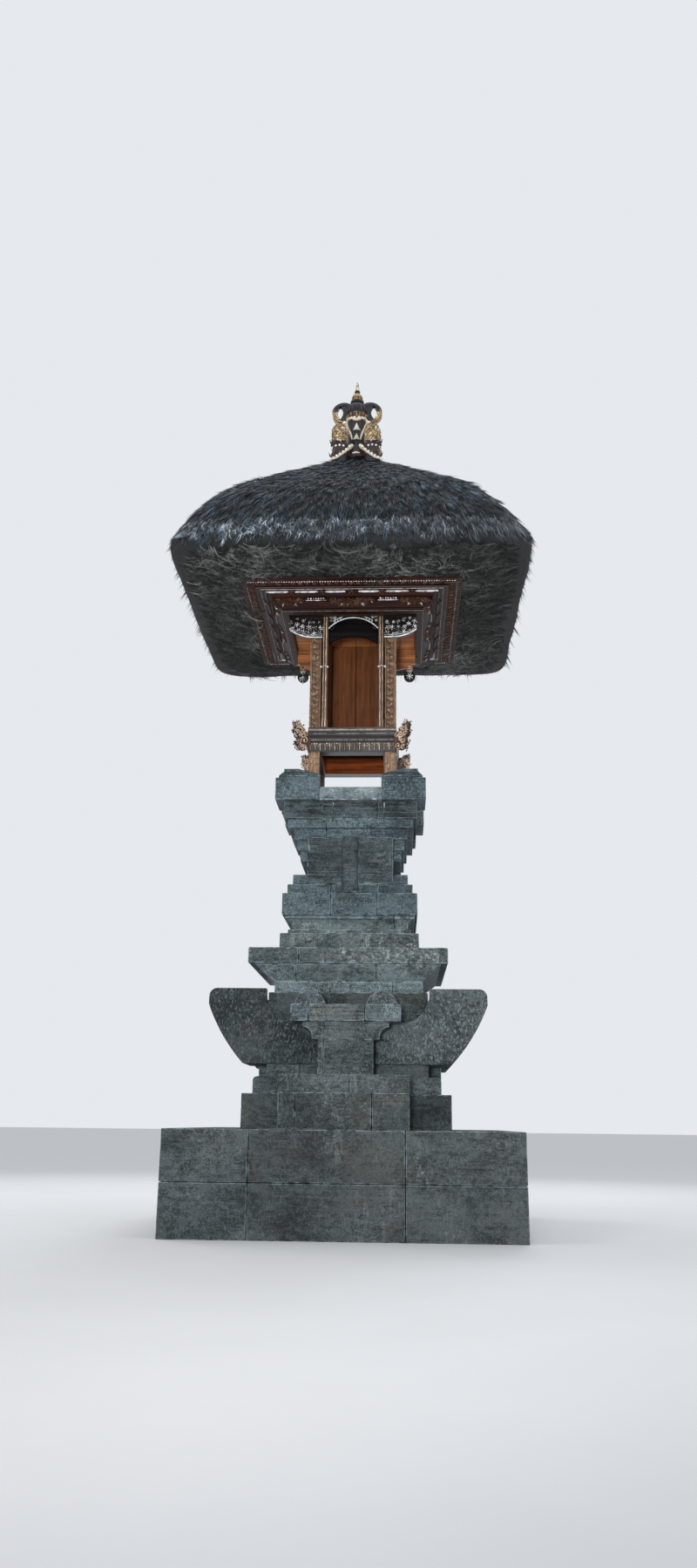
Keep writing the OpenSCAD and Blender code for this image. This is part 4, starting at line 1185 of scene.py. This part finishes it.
class SHRINE_OT_timber(bpy.types.Operator):
    """Makes the timber box: posts, boards, floor frame and its carved corner leaves"""
    bl_idname = "shrine.timber"
    bl_label = "Timber box"

    def execute(self, context):
        t = context.scene.shrine_timber
        post = wood_finish("post_wood", shade(t.oiled, 0.22), shade(t.oiled, 0.62), Z, 0.15,
                           foot=(shade(t.pale, 0.5), shade(t.pale, 1.7)))
        pale = wood_finish("stile_wood", shade(t.pale, 0.05), shade(t.pale, 0.42), Z, 0.3)
        dark = wood_finish("frame_wood", shade(t.black, 0.2), shade(t.black, 1.1), X, 0.9,
                           0.38, inner=(shade(t.red, 0.3), shade(t.red, 0.9)))
        worn_stone("posts", post, "carved_wood", (), 61, 1.2 * MM, 0.8 * MM)
        worn_stone("stiles", pale, "board_wood", (), 62, 1.0 * MM, 0.5 * MM)
        worn_stone("floor_frame", dark, "carved_wood", (), 63, 1.2 * MM, 1.0 * MM)
        dress(wood_finish("board_wood", shade(t.red, 0.37, 0.62, 1.1), shade(t.red, 0.68, 1.0, 1.6),
                          Z, 0.0, glint=0.3, plank=0.120), "back_wall")
        dress(wood_finish("side_wood", shade(t.red, 0.2), shade(t.red, 0.6), Z, 0.1),
              "side_walls")
        # Painted shade: the zone at the front of the ceiling, behind the cornice, is made near
        # black for the shadow there.
        dress(wood_finish("ceiling_wood", shade(t.orange, 0.7), shade(t.orange, 1.7), X, 0.1,
                          plank=0.075, zone=(-0.4, -0.2, 0, (0.004, 0.003, 0.002),
                                             (0.02, 0.01, 0.006))), "ceiling")
        dress(wood_finish("floor_wood", shade(t.red, 0.25), shade(t.red, 0.7), X, 0.1,
                          plank=0.073), "floor_boards")
        self.posts(t)
        self.stiles(t)
        self.floor(t)
        self.leaves()
        return {"FINISHED"}

    def posts(self, t):
        """A vine of scrolls and leaves on the outer faces of the posts."""
        low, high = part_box("posts")
        edge = high[0]
        middle, pitch = edge - 0.025, 0.030
        vine, leaves = [], []
        for side in (-1, 1):
            for n in range(int((high[2] - low[2] - 0.05) / pitch)):
                z = low[2] + 0.02 + pitch * n
                sway = 0.008 if n % 2 else -0.008
                vine.append(((side * middle + sway, -edge, z), (sway * 100, 0, 1), OUT, 0.024))
                leaves.append(((side * middle - sway, -edge, z + 0.006), (-sway * 60, 0, 1), OUT,
                               0.021))
        paint = carved_finish("post_carving", (0.016, 0.008, 0.005), t.oiled, shade(t.gilt, 1.5),
                              0.3, 0.4)
        carve("post_scrolls", around(vine), [scroll(1), scroll(-1)], paint, 1, 0.3)
        carve("post_leaves", around(leaves), [leaf()], paint, 2, 0.2)
        strips = Carving()
        for _ in turned(strips):
            for x in (-edge + 0.004, -edge + 0.046, edge - 0.046, edge - 0.004):
                strips.rib([(x, -edge, low[2] + 0.008), (x, -edge, high[2] - 0.04)], 0.004, OUT)
        strips.piece("post_strips", paint)

    def stiles(self, t, steps=24):
        """Pale worn edges down the front stiles."""
        low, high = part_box("stiles")
        strips = Carving()
        for side in (-1, 1):
            for inset, wide in ((0.020, 0.008), (0.008, 0.005)):
                path, widths = [], []
                for n in range(steps + 1):
                    z = low[2] + 0.004 + (high[2] - low[2] - 0.008) * n / steps
                    path.append((side * (high[0] - inset + 0.0007 * math.sin(n * 2.1)), low[1], z))
                    widths.append(wide * (0.8 + 0.2 * math.sin(n * 1.3)))
                strips.rib(path, widths, OUT, 0.35)
        strips.piece("stile_edges", carved_finish(
            "stile_edges", (0.040, 0.022, 0.014), shade(t.pale, 1.7), (0.86, 0.70, 0.54), 0.3, 0.4,
            ridge_from=0.2), "board_wood")

    def floor(self, t):
        """Mouldings, hanging leaves and the small slot of the floor frame."""
        (_, _, foot), (edge, _, lip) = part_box("floor_frame")
        rim = edge - 0.004
        # Painted highlights: the pale crests of the black mouldings, brightest on the two thin
        # lines, stand for glints of light on the glossy lacquer.
        black = carved_finish("floor_moulding", shade(t.black, 0.2), shade(t.black, 0.7),
                              shade(t.silver, 1.2), 1.0, 0.3, 0.08, 0.55)
        paint = carved_finish("floor_carving", (0.008, 0.006, 0.005), (0.12, 0.085, 0.062),
                              (0.50, 0.42, 0.35), 0.4, 0.4)
        for name, up, step, way, size, kinds, seed, swing in (
                ("floor_leaves", 0.022, 0.0235, DOWN, (0.050, 0.034, 0.016), [leaf(1)], 3, 0.05),
                ("floor_curls", 0.040, 0.0118, (1, 0, 0), 0.011, [flower(5), bead()], 4, 0.5)):
            rows = run((-rim, -rim, foot + up), (rim, -rim, foot + up), step, way, OUT, size)
            carve(name, around(rows), kinds, paint, seed, swing)
        strips, lips, slot = Carving(), Carving(), Carving()
        for _ in turned(strips, lips):
            # The third number is how bright the painted highlight on each crest is.
            for up, wide, bright in ((0.050, 0.005, 0.1), (0.057, 0.0045, 1), (0.073, 0.019, 0.55),
                                     (0.0895, 0.0045, 1), (0.0955, 0.003, 0.1)):
                strips.bar(edge, edge, foot + up, wide, OUT, 0.42, bright)
            lips.bar(rim, rim, foot + 0.1095, 0.017, OUT, 0.12, 0.8)
        slot.bar(0.016, rim, lip - 0.008, 0.009, OUT, 0.05, 0)
        lips.piece("floor_lip", carved_finish(
            "floor_lip", (0.030, 0.024, 0.021), (0.17, 0.13, 0.11), (0.46, 0.39, 0.34), 0.6, 0.4))
        strips.piece("floor_mouldings", black)
        slot.piece("floor_slot", black)

    def leaves(self):
        """Carved foliage on both faces of the corner leaves."""
        wood = wood_finish("leaf_wood", (0.016, 0.010, 0.007), (0.11, 0.065, 0.042), Z, 0.2)
        worn_stone("corner_leaves", wood, "carved_wood", (), 66, 2.0 * MM, 2.0 * MM)
        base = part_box("corner_leaves")[0][2]
        flat = math.sqrt(0.5)

        def mark(out, up, heading, across, facing, size):
            at = Vector((0.211 + out * flat, -0.211 - out * flat, base + up)) + across
            way = (flat * math.cos(heading), -flat * math.cos(heading), math.sin(heading))
            return tuple(at), way, facing, size

        rows = []
        for face in (-1, 1):
            across = Vector((flat * face, flat * face, 0))
            for out, up, size, heading in (
                    (20, 20, 34, -0.6), (26, 48, 36, 0.1), (12, 74, 30, 0.4), (38, 72, 36, 0.5),
                    (50, 34, 30, -0.4), (34, 98, 32, 0.9), (58, 100, 34, 1.1), (56, 68, 26, 0.2),
                    (66, 118, 26, 1.4), (44, 12, 26, -0.9), (68, 84, 22, 0.3)):
                rows.append(mark(out * MM, up * MM, heading, across * 0.0125, tuple(across),
                                 size * 1.15 * MM))
        tips = [mark(out * MM, up * MM, heading, Vector(), (flat, flat, 0), (0.030, 0.024, 0.024))
                for out, up, heading in (
                    (50, 12, -0.5), (62, 36, 0.1), (70, 62, 0.5), (78, 90, 0.6),
                    (80, 112, 1.0), (66, 128, 1.6), (40, 112, 1.8))]
        paint = carved_finish("leaf_carving", (0.014, 0.008, 0.006), (0.26, 0.160, 0.105),
                              (0.80, 0.65, 0.52), 0.2, 0.45, ridge_from=0.32)
        carve("leaf_scrolls", around(rows), [scroll(1), scroll(-1), palmette()], paint, 5, 0.4)
        carve("leaf_tips", around(tips), [leaf(1)], paint, 6, 0.2)


class SHRINE_OT_cornice(bpy.types.Operator):
    """Makes the cornice with its carved bands, and the fretwork under it"""
    bl_idname = "shrine.cornice"
    bl_label = "Cornice and fretwork"

    def execute(self, context):
        t = context.scene.shrine_timber
        dark, light = (0.003, 0.001, 0.001), (0.036, 0.008, 0.004)
        dress(wood_finish("cornice_wood", dark, light, X, 0.12, shine=0.25, glint=0.25),
              "cornice_front", "cornice_left", "cornice_right")
        dress(wood_finish("cornice_inside", dark, light, X, 0.1, glint=0.25, reach=0.335,
                          inner=(shade(t.orange, 0.5), shade(t.orange, 1.2))), "cornice_back")
        dress(wood_finish("fretwork_wood", (0.004, 0.004, 0.004), (0.018, 0.015, 0.014), X,
                          0.6, 0.35, shine=0.15,
                          zone=(0.150, 0.208, 2.655, shade(t.orange, 0.4), t.orange)), "fretwork")
        # The header is black lacquer, darkened further to near black as painted shadow cast by the
        # front fretwork.
        dress(wood_finish("header_wood", (0.001, 0.001, 0.001), (0.008, 0.006, 0.006), X, 0.0,
                          0.6, glint=0.25), "header")
        self.cornice(t)
        self.fretwork(t)
        return {"FINISHED"}

    def cornice(self, t):
        """Scrolls, leaves, beads, bosses, swags and rolls along the four sides."""
        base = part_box("cornice_front")[0][2]
        gold = carved_finish("cornice_carving", (0.003, 0.0015, 0.001), (0.045, 0.016, 0.008),
                             (0.36, 0.20, 0.13), 0.15, 0.4, 0.15, 0.55, 0.35)
        # Painted highlights: the pale crests of the beads, strips and garland tips stand for glints
        # of light on the glossy lacquer.
        gloss = carved_finish("cornice_beads", (0.006, 0.004, 0.003), (0.10, 0.070, 0.055),
                              shade(t.silver, 1.7), 0.9, 0.25, 0.08, 0.22)
        # Painted reflection: the pale crest of each roll in the cove stands for the sky mirrored in
        # the glossy lacquer.
        bright = carved_finish("cornice_roll", (0.020, 0.014, 0.012), (0.22, 0.20, 0.20),
                               (0.72, 0.73, 0.76), 1.0, 0.2, 0.06, 0.15)
        # Painted shade: the beads and rolls on the left and right sides get this darker copy of the
        # finish, for the shade those sides stand in.
        side_shade = carved_finish("cornice_side_roll", (0.008, 0.005, 0.004), (0.035, 0.025, 0.020),
                            (0.20, 0.18, 0.17), 0.5, 0.3, 0.1, 0.25)
        slant = (0, -0.61, -0.79)
        panels = -0.170, 0.170

        def band(y, up, half, step, size, way=(1, 0, 0), facing=DOWN, middle=0):
            return run((middle - half, -y, base + up), (middle + half, -y, base + up), step, way,
                       facing, size)

        carve("cornice_scrolls", around(band(0.470, 0.080, 0.460, 0.034, 0.031)),
              [scroll(1), scroll(-1)], gold, 11, 0.5)
        leaves = (band(0.462, 0.080, 0.452, 0.034, (0.026, 0.026, 0.016), (0.6, 1, 0))
                  + band(0.500, 0.080, 0.490, 0.026, (0.022, 0.022, 0.014), (0.6, -1, 0)))
        carve("cornice_leaves", around(leaves), [leaf()], gold, 12, 0.4)
        beads = band(0.4890, 0.0795, 0.484, 0.0120, 0.0095)
        for middle in panels:
            beads += band(0.3770, 0.047, 0.042, 0.0120, 0.0100, facing=OUT, middle=middle)
        carve("cornice_beads", around(beads, (0, 2)), [bead()], gloss, 13)
        # The side beads take the darker finish as painted shade.
        carve("cornice_side_beads", around(beads, (1, 3)), [bead()], side_shade, 13)
        bosses = [((x, -0.414, base + 0.068), (1, 0, 0), slant, (size, 0.046, 0.034))
                  for x, size in ((-0.283, 0.044), (-0.1414, 0.044), (0, 0.066), (0.1414, 0.044),
                                  (0.283, 0.044))]
        carve("cornice_bosses", around(bosses), [flower(7), flower(6)], gold, 14, 0.2)
        self.swags(base, slant, gold, gloss)
        strips, lips, rolls, side_rolls = Carving(), Carving(), Carving(), Carving()
        for quarter in turned(strips, lips, rolls, side_rolls):
            for y, up, facing, wide, high in (
                    (0.334, 0.012, OUT, 0.003, 0.1), (0.334, 0.003, OUT, 0.003, 0.5),
                    (0.4465, 0.072, DOWN, 0.006, 0.25), (0.427, 0.072, DOWN, 0.004, 0.6)):
                strips.bar(y, y, base + up, wide, facing, 0.45, high)
            lips.bar(0.512, 0.512, base + 0.087, 0.004, OUT, 0.45, 0.5)
            for middle in panels:
                strips.rib([(middle + x, -0.3765, base + 0.0385) for x in (-0.048, 0, 0.048)],
                           [0.003, 0.0045, 0.003], OUT, 0.4, [0.8, 1, 0.8])
            # Rolls on the left and right sides take the darker finish as painted shade.
            roll = side_rolls if quarter % 2 else rolls
            for a, b in ((-0.404, -0.296), (-0.270, -0.154), (-0.129, -0.030), (0.030, 0.129),
                         (0.154, 0.270), (0.296, 0.404)):
                roll.rib([(a + (b - a) * n / 6, -0.406, base + 0.070) for n in range(7)],
                         [0.010, 0.016, 0.017, 0.017, 0.017, 0.016, 0.010], (0, -0.35, -0.94))
        strips.piece("cornice_strips", gloss)
        lips.piece("cornice_lips", gold)
        rolls.piece("cornice_rolls", bright)
        side_rolls.piece("cornice_side_rolls", side_shade)

    def swags(self, base, slant, gold, gloss, pitch=0.0185):
        """Three hanging bunches of fans and curls on each side, with pale leaves at their ends."""
        swags, tips = [], []
        for at, reach in ((-0.295, 3), (0, 5), (0.295, 3)):
            for row, (y, up, less, size) in enumerate((
                    (0.3765, 0.047, 0, 0.024), (0.3765, 0.036, 0, 0.024),
                    (0.3690, 0.034, 1, 0.024), (0.3600, 0.027, 2, 0.022))):
                for k in range(less - reach, reach - less + 1):
                    x = at + pitch * k
                    if abs(x) < y - 0.012:
                        swags.append(((x, -y, base + up), (k * 0.6, 0.6, -0.6),
                                      OUT if row < 2 else slant, (size, size * 1.15, size * 0.7)))
            for k in (-1, 1):
                for share, up in ((1.0, 0.033), (0.55, 0.024)):
                    x = at + k * share * pitch * reach
                    if abs(x) < 0.345:
                        tips.append(((x, -0.3680 + 0.9 * (0.033 - up), base + up),
                                     (k * 0.5, 0.6, -0.5), slant, (0.026, 0.022, 0.016)))
        carve("cornice_swags", around(swags), [palmette(), scroll(1), scroll(-1)], gold, 15, 0.35)
        carve("cornice_tips", around(tips), [leaf(1)], gloss, 16, 0.2)

    def fretwork(self, t):
        """Scrolls and flowers on the brackets and the arches, and their pale edges, which are
        painted highlights.
        """
        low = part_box("fretwork")[0][2]
        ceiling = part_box("ceiling")[0][2]
        # Painted highlights: the pale ridges of the scrolls, flowers and drops, and the pale rims
        # and hooks, stand for glints of light on the black lacquer.
        bright = carved_finish("fretwork_carving", (0.003, 0.003, 0.003), (0.07, 0.062, 0.06),
                               [min(0.86, c) for c in shade(t.silver, 1.9)], 0.9, 0.25, 0.1, 0.20)
        edge = carved_finish("fretwork_edge", (0.10, 0.10, 0.11), (0.42, 0.44, 0.46),
                             (0.80, 0.82, 0.84), 0.6, 0.3)
        rims, hooks = Carving(), Carving()
        curls, blooms = self.brackets(ceiling)
        for quarter in turned(rims):
            width = 0.304 if quarter else 0.242
            arch = self.arch(ceiling, width)
            rows = []
            for side in (-1, 1):
                for n in range(round(width / 0.030) // 2 + 1):
                    x = min(width / 2 - 0.010, 0.030 + 0.019 * n)
                    rows += [((side * x, -0.2025, arch(x) + lift), (1, 0, 0.6 * side), OUT, size)
                             for lift, size in ((0.030, 0.020), (0.049, 0.022))
                             if arch(x) + lift + 0.002 < ceiling]
            curls += around(rows, (quarter,))
            across = [0.99 * width * (n / 32 - 0.5) for n in range(33)]
            rims.rib([(x, -0.2022, arch(x) + 0.0035) for x in across], 0.0065, OUT, high=1)
            for side in (-1, 1):
                for k in range(4):
                    x = width * (0.20 + 0.055 * k)
                    foot = arch(x)
                    if foot + 0.020 < ceiling:
                        rims.rib([(side * (x + a), -0.2022, min(foot + b, ceiling - 0.002))
                                  for a, b in ((0, 0.008), (0.004, 0.016), (-0.010, 0.024))],
                                 [0.006, 0.007, 0.002], OUT, high=1)
        for _ in turned(rims, quarters=(0, 2)):
            for side in (-1, 1):
                for lift, wide in ((0.0035, 0.0075), (0.013, 0.0025)):
                    steps = [0.149 + 0.153 * n / 14 for n in range(15)]
                    rims.rib([(side * x, -0.2143, self.belly(ceiling, x) + lift) for x in steps],
                             wide, OUT, high=1)
        rims.piece("fretwork_rims", edge)
        carve("fretwork_scrolls", curls, [scroll(1), scroll(-1), palmette()], bright, 21, 0.5)
        carve("fretwork_flowers", blooms, [flower(5), flower(6)], bright, 22, 0.8)
        drops = [((side * 0.274, y, low + up), DOWN, (0, face, 0), size)
                 for side in (-1, 1) for face, y in ((-1, 0.2015), (1, 0.2145))
                 for up, size in ((0.029, 0.046), (0.062, 0.032), (0.086, 0.030))]
        carve("fretwork_drops", drops, [flower(7), palmette()], bright, 23, 0.1)
        for side in (-1, 1):
            hooks.rib([(side * x, y, z) for x, y, z in (
                (0.150, -0.203, 2.515), (0.143, -0.213, 2.514), (0.131, -0.213, 2.516),
                (0.122, -0.203, 2.515))], [0.004, 0.0045, 0.0045, 0.004], high=1)
            for x in (0.152, 0.122):
                hooks.bead((side * x, -0.2025, 2.515), 0.006, OUT)
        hooks.piece("stile_hooks", edge)

    def brackets(self, ceiling):
        """Marks on the brackets: big flowers low down and small curls above."""
        rng = random.Random(5)
        curls, blooms = [], []
        for side in (-1, 1):
            for step in range(6):
                x = 0.163 + 0.0265 * step
                z = self.belly(ceiling, x) + 0.021
                while z < ceiling - 0.008:
                    low_down = z < self.belly(ceiling, x) + 0.055
                    spot = (side * (x + rng.uniform(-0.003, 0.003)), -0.2145, z)
                    turn = rng.uniform(0, 6.28)
                    rows = curls if rng.random() < (0.15 if low_down else 0.75) else blooms
                    size = rng.uniform(0.028, 0.036) if low_down else rng.uniform(0.017, 0.024)
                    rows.append((spot, (math.cos(turn), 0, math.sin(turn)), OUT, size))
                    z += 0.030
        return around(curls, (0, 2)), around(blooms, (0, 2))

    def belly(self, ceiling, x, half=0.1135, rise=0.040):
        """Height of a bracket's lower edge."""
        radius = (half ** 2 + rise ** 2) / (2 * rise)
        return ceiling - 0.116 + radius - math.sqrt(radius ** 2 - max(0, x - 0.1895) ** 2)

    def arch(self, ceiling, width, rise=0.058):
        """Height of the lower edge of an arch over its width."""
        radius = (width ** 2 / 4 + rise ** 2) / (2 * rise)
        return lambda x: ceiling - 0.068 + rise - radius + math.sqrt(radius ** 2 - x ** 2)


class SHRINE_OT_finial(bpy.types.Operator):
    """Makes the painted finial"""
    bl_idname = "shrine.finial"
    bl_label = "Finial"

    def execute(self, context):
        self.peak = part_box("thatch")[1][2]
        self.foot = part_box("finial_crown")[0][2]
        dress(self.paint(), "finial_cap", "finial_crown", "finial_spire")
        white = carved_finish("finial_white", (0.34, 0.28, 0.20), (0.80, 0.74, 0.62),
                              (0.88, 0.86, 0.80), 0.1, 0.5)
        gilt = carved_finish("finial_gilt", (0.008, 0.005, 0.004), (0.26, 0.14, 0.05),
                             (0.80, 0.63, 0.38), 0.2, 0.45)
        red = carved_finish("finial_red", (0.008, 0.006, 0.006), (0.10, 0.022, 0.016),
                            (0.40, 0.20, 0.08), 0.2, 0.5)
        dusk = carved_finish("finial_dusk", (0.008, 0.008, 0.010), (0.030, 0.026, 0.032),
                             (0.15, 0.12, 0.11), 0.3, 0.45)
        self.lines(white, gilt, dusk)
        self.curls(gilt, red, dusk)
        return {"FINISHED"}

    def paint(self):
        """Gilt feet, a dark column and cup with a gilt band, gilt loops and a pale bud."""
        r = Recipe("finial_paint")
        peak, foot = self.peak, self.foot
        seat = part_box("finial_crown")[1][2] - 0.014
        x, y, z = r.axes(X, Y, Z)
        far = (x * x + y * y) ** 0.5
        patina = r.noise(36, 4.0, rough=0.65)
        cut = r.noise(85, 2.0, rough=0.6).between(0.50, 0.60)
        wave = z + (patina - 0.5) * 0.016
        dark, gold, red = (0.012, 0.011, 0.014), (0.46, 0.29, 0.115), (0.030, 0.013, 0.012)
        pale = (0.80, 0.70, 0.50)
        bright = r.mix(patina.between(0.42, 0.58), gold, pale)
        leg = r.mix(wave.between(peak + 0.010, peak + 0.022), red, bright)
        leg = r.mix(wave.between(peak - 0.060, peak - 0.050), dark, leg)
        colour = r.mix(far.between(0.058, 0.064), dark, leg)
        cup = r.mix(wave.between(foot + 0.012, foot + 0.016), dark,
                    r.mix(patina.between(0.45, 0.55), red, gold))
        cup = r.mix(wave.between(foot + 0.050, foot + 0.054), cup, dark)
        loop = r.mix(wave.between(foot + 0.066, foot + 0.074), bright, dark)
        cup = r.mix(far.between(0.057, 0.062), cup, r.mix(far.between(0.092, 0.104), dark, loop))
        colour = r.mix(z.between(foot - 0.001, foot + 0.001), colour, cup)
        spire = r.mix(z.between(seat + 0.020, seat + 0.024), dark, gold)
        spire = r.mix(z.between(seat + 0.072, seat + 0.075), spire, dark)
        spire = r.mix(z.between(seat + 0.088, seat + 0.091), spire, pale)
        colour = r.mix(z.between(seat + 0.012, seat + 0.016), colour, spire)
        colour = r.mix(cut * 0.9, colour, dark)
        return r.finish(patina + cut * -0.6, 2.0 * MM, Base_Color=colour, Roughness=0.5,
                        Coat_Weight=0.25)

    def lines(self, white, gilt, dusk):
        """The white scrolls, triangles and hems, the same on all four faces."""
        peak, foot = self.peak, self.foot
        pale, gold, shadow = Carving(), Carving(), Carving()
        wave = [(-0.047, 0.003), (-0.036, 0.0), (-0.026, 0.005), (-0.014, -0.007), (0, -0.011)]
        wave += [(-x, z) for x, z in wave[3::-1]]
        wide = [0.009, 0.017, 0.015, 0.019, 0.022]
        for _ in turned(pale, shadow):
            for low, tall, half in ((foot - 0.066, 0.044, 0.023), (foot - 0.122, 0.036, 0.022)):
                pale.rib([(0, -0.0535, low + tall * share) for share in (0, 0.5, 1)],
                         [2 * half, half, 0], OUT, 0.25)
            pale.rib([(x, -0.0535 + 0.3 * abs(x), foot + 0.009 + z) for x, z in wave],
                     wide + wide[3::-1], OUT, 0.6)
            for x in (-0.030, -0.012, 0.012, 0.030):
                pale.bead((x, -0.0540 + 0.3 * abs(x), foot + 0.012), 0.008, OUT)
            for side in (-1, 1):
                self.curl(side, pale, shadow)
            pale.rib([(-0.020, -0.104, peak - 0.046), (0, -0.107, peak - 0.044),
                      (0.020, -0.104, peak - 0.046)], [0.005, 0.014, 0.005], OUT, 0.4)
        self.loops(pale, gold, shadow)
        pale.piece("finial_white", white, "painted_finial")
        gold.piece("finial_gold", gilt, "painted_finial")
        shadow.piece("finial_dark", dusk, "painted_finial")

    def curl(self, side, pale, shadow):
        """The long white curl, the hem and the dots at one side of a face."""
        peak, foot = self.peak, self.foot

        def rib(to, base, rows, widths, rise=0.5):
            to.rib([(side * x * MM, y * MM, base + z * MM) for x, y, z in rows],
                   [wide * MM for wide in widths], OUT, rise)

        def dot(base, x, y, z, radius):
            pale.bead((side * x * MM, y * MM, base + z * MM), radius * MM, OUT)

        rib(pale, foot, ((47, -40, 6), (50, -52, -10), (57, -62, -24), (53, -72, -40),
                         (46, -80, -60), (42, -88, -82), (34, -92, -104), (26, -90, -126),
                         (22, -86, -146)), (5, 8, 9, 8, 8, 10, 14, 12, 5), 0.6)
        dot(foot, 62, -66, -30, 9)
        rib(pale, peak, ((20, -88, 12), (30, -108, -14), (58, -126, -54), (96, -130, -88),
                         (136, -128, -102)), (20, 24, 12, 10, 6))
        dot(peak, 24, -94, 2, 11)
        for share in (n / 6 for n in range(7)):
            dot(peak, 32 + 98 * share, -124, -22 - 76 * share ** 0.8, 9.5)
        for k in (-1, 0, 1):
            dot(peak, 84 + k * 19.5, -126 + 6 * abs(k), -13, 6.8)
        dot(peak, 80, -127, 11, 6.8)
        rib(shadow, peak, ((48, -118, 18), (84, -128, 8), (120, -118, 18)), (6, 12, 6))
        rib(shadow, peak, ((120, -100, 4), (130, -104, 14), (138, -108, 34)), (12, 10, 0))
        rib(shadow, peak, ((118, -112, -82), (132, -116, -70), (140, -118, -50)), (12, 10, 0))

    def loops(self, pale, gold, shadow, steps=12):
        """Gilt, white and dark lines on the two loops of the crown."""
        low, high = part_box("finial_crown")
        radius = (high[2] - low[2]) / 2
        middle = high[0] - radius
        for side in (-1, 1):
            for face in (-1, 1):
                for to, way, wide, start, end in ((gold, radius - 0.009, 0.020, -112, 22),
                                                  (pale, radius - 0.022, 0.005, -70, 10),
                                                  (shadow, radius - 0.012, 0.012, 26, 165)):
                    path, widths = [], []
                    for share in (n / steps for n in range(steps + 1)):
                        a = math.radians(start + (end - start) * share)
                        path.append((side * (middle + way * math.cos(a)), face * 0.0128,
                                     low[2] + radius + way * math.sin(a)))
                        swell = math.sin(math.pi * (0.06 + 0.88 * share))
                        widths.append(wide * (0.35 + 0.65 * swell))
                    to.rib(path, widths, (0, face, 0), 0.45)

    def curls(self, gilt, red, dusk):
        """Curls over the feet, and leaves round the cup, its rim and the ball."""
        peak, foot = self.peak, self.foot
        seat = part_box("finial_spire")[0][2]
        high, leaves, band, rim = [], [], [], []
        inset, girth = 0.084, 0.0405
        for corner in range(4):
            middle = math.radians(45 + 90 * corner)
            at = Vector((math.cos(middle), math.sin(middle), 0)) * inset * math.sqrt(2)
            for ring, (lift, tilt, step) in enumerate(((0.036, 0, 45), (0.066, 0, 45),
                                                       (0.087, 28, 45), (0.087, 62, 72))):
                tilt = math.radians(tilt)
                for n in range(-2, 3):
                    a = middle + math.radians(step * (n + 0.25 * (ring % 2)))
                    facing = Vector((math.cos(a) * math.cos(tilt), math.sin(a) * math.cos(tilt),
                                     math.sin(tilt)))
                    spot = at + facing * girth
                    way = (-math.sin(a) * (1 if n % 2 else -1), math.cos(a), 0.7)
                    high.append((tuple(spot + Vector((0, 0, peak + lift))), way, tuple(facing),
                                 0.031))
                    if ring == 0:
                        band.append((tuple(spot + Vector((0, 0, peak - 0.056))), UP, tuple(facing),
                                     0.030))
        for count, first, radius, z, way, face, size, row in (
                (12, 0, 0.0505, foot + 0.034, (0, 1), -0.12, (0.040, 0.034, 0.026), None),
                (16, 0, 0.053, foot + 0.076, (0.4, 1), 0, (0.036, 0.030, 0.024), rim),
                (8, 22.5, 0.0245, seat + 0.050, (-0.2, 1), 0.3, (0.040, 0.030, 0.022), leaves)):
            for n in range(count):
                a = math.radians(360 / count * n + first)
                x, y = math.cos(a), math.sin(a)
                rows = row if row is not None else (leaves if n % 2 else band)
                rows.append(((radius * x, radius * y, z), (way[0] * x, way[0] * y, way[1]),
                             (x, y, face), size))
        for name, rows, kinds, finish, seed, swing in (
                ("finial_curls", high, [scroll(1), scroll(-1), palmette()], gilt, 31, 0.5),
                ("finial_leaves", leaves, [leaf(1)], gilt, 32, 0.0),
                ("finial_band", band, [leaf(1), palmette()], red, 33, 0.0),
                ("finial_rim", rim, [leaf(0)], dusk, 34, 0.0)):
            carve(name, rows, kinds, finish, seed, swing, "painted_finial")


class SHRINE_PT_panel(bpy.types.Panel):
    """Lists the shrine's steps and settings"""
    bl_idname = "SHRINE_PT_panel"
    bl_label = "Shrine"
    bl_space_type = "VIEW_3D"
    bl_region_type = "UI"
    bl_category = "Shrine"

    def draw(self, context):
        for group in GROUPS:
            box = self.layout.box()
            settings = getattr(context.scene, group)
            for name in settings.bl_rna.properties.keys():
                if name not in ("rna_type", "name"):
                    box.prop(settings, name)
        for step in STEPS:
            self.layout.operator(step.bl_idname)


GROUPS = {"shrine_stone": StoneSettings, "shrine_timber": TimberSettings,
          "shrine_thatch": ThatchSettings, "shrine_stage": StageSettings}
STEPS = (SHRINE_OT_stage, SHRINE_OT_courses, SHRINE_OT_bays, SHRINE_OT_timber, SHRINE_OT_cornice,
         SHRINE_OT_thatch, SHRINE_OT_finial)


def register():
    for made in (*GROUPS.values(), *STEPS, SHRINE_PT_panel):
        bpy.utils.register_class(made)
    for name, group in GROUPS.items():
        setattr(bpy.types.Scene, name, bpy.props.PointerProperty(type=group))


def unregister():
    for name in GROUPS:
        delattr(bpy.types.Scene, name)
    for made in reversed((*GROUPS.values(), *STEPS, SHRINE_PT_panel)):
        bpy.utils.unregister_class(made)


def main():
    register()
    for step in STEPS:
        family, name = step.bl_idname.split(".")
        getattr(getattr(bpy.ops, family), name)()


if __name__ == "__main__":
    main()
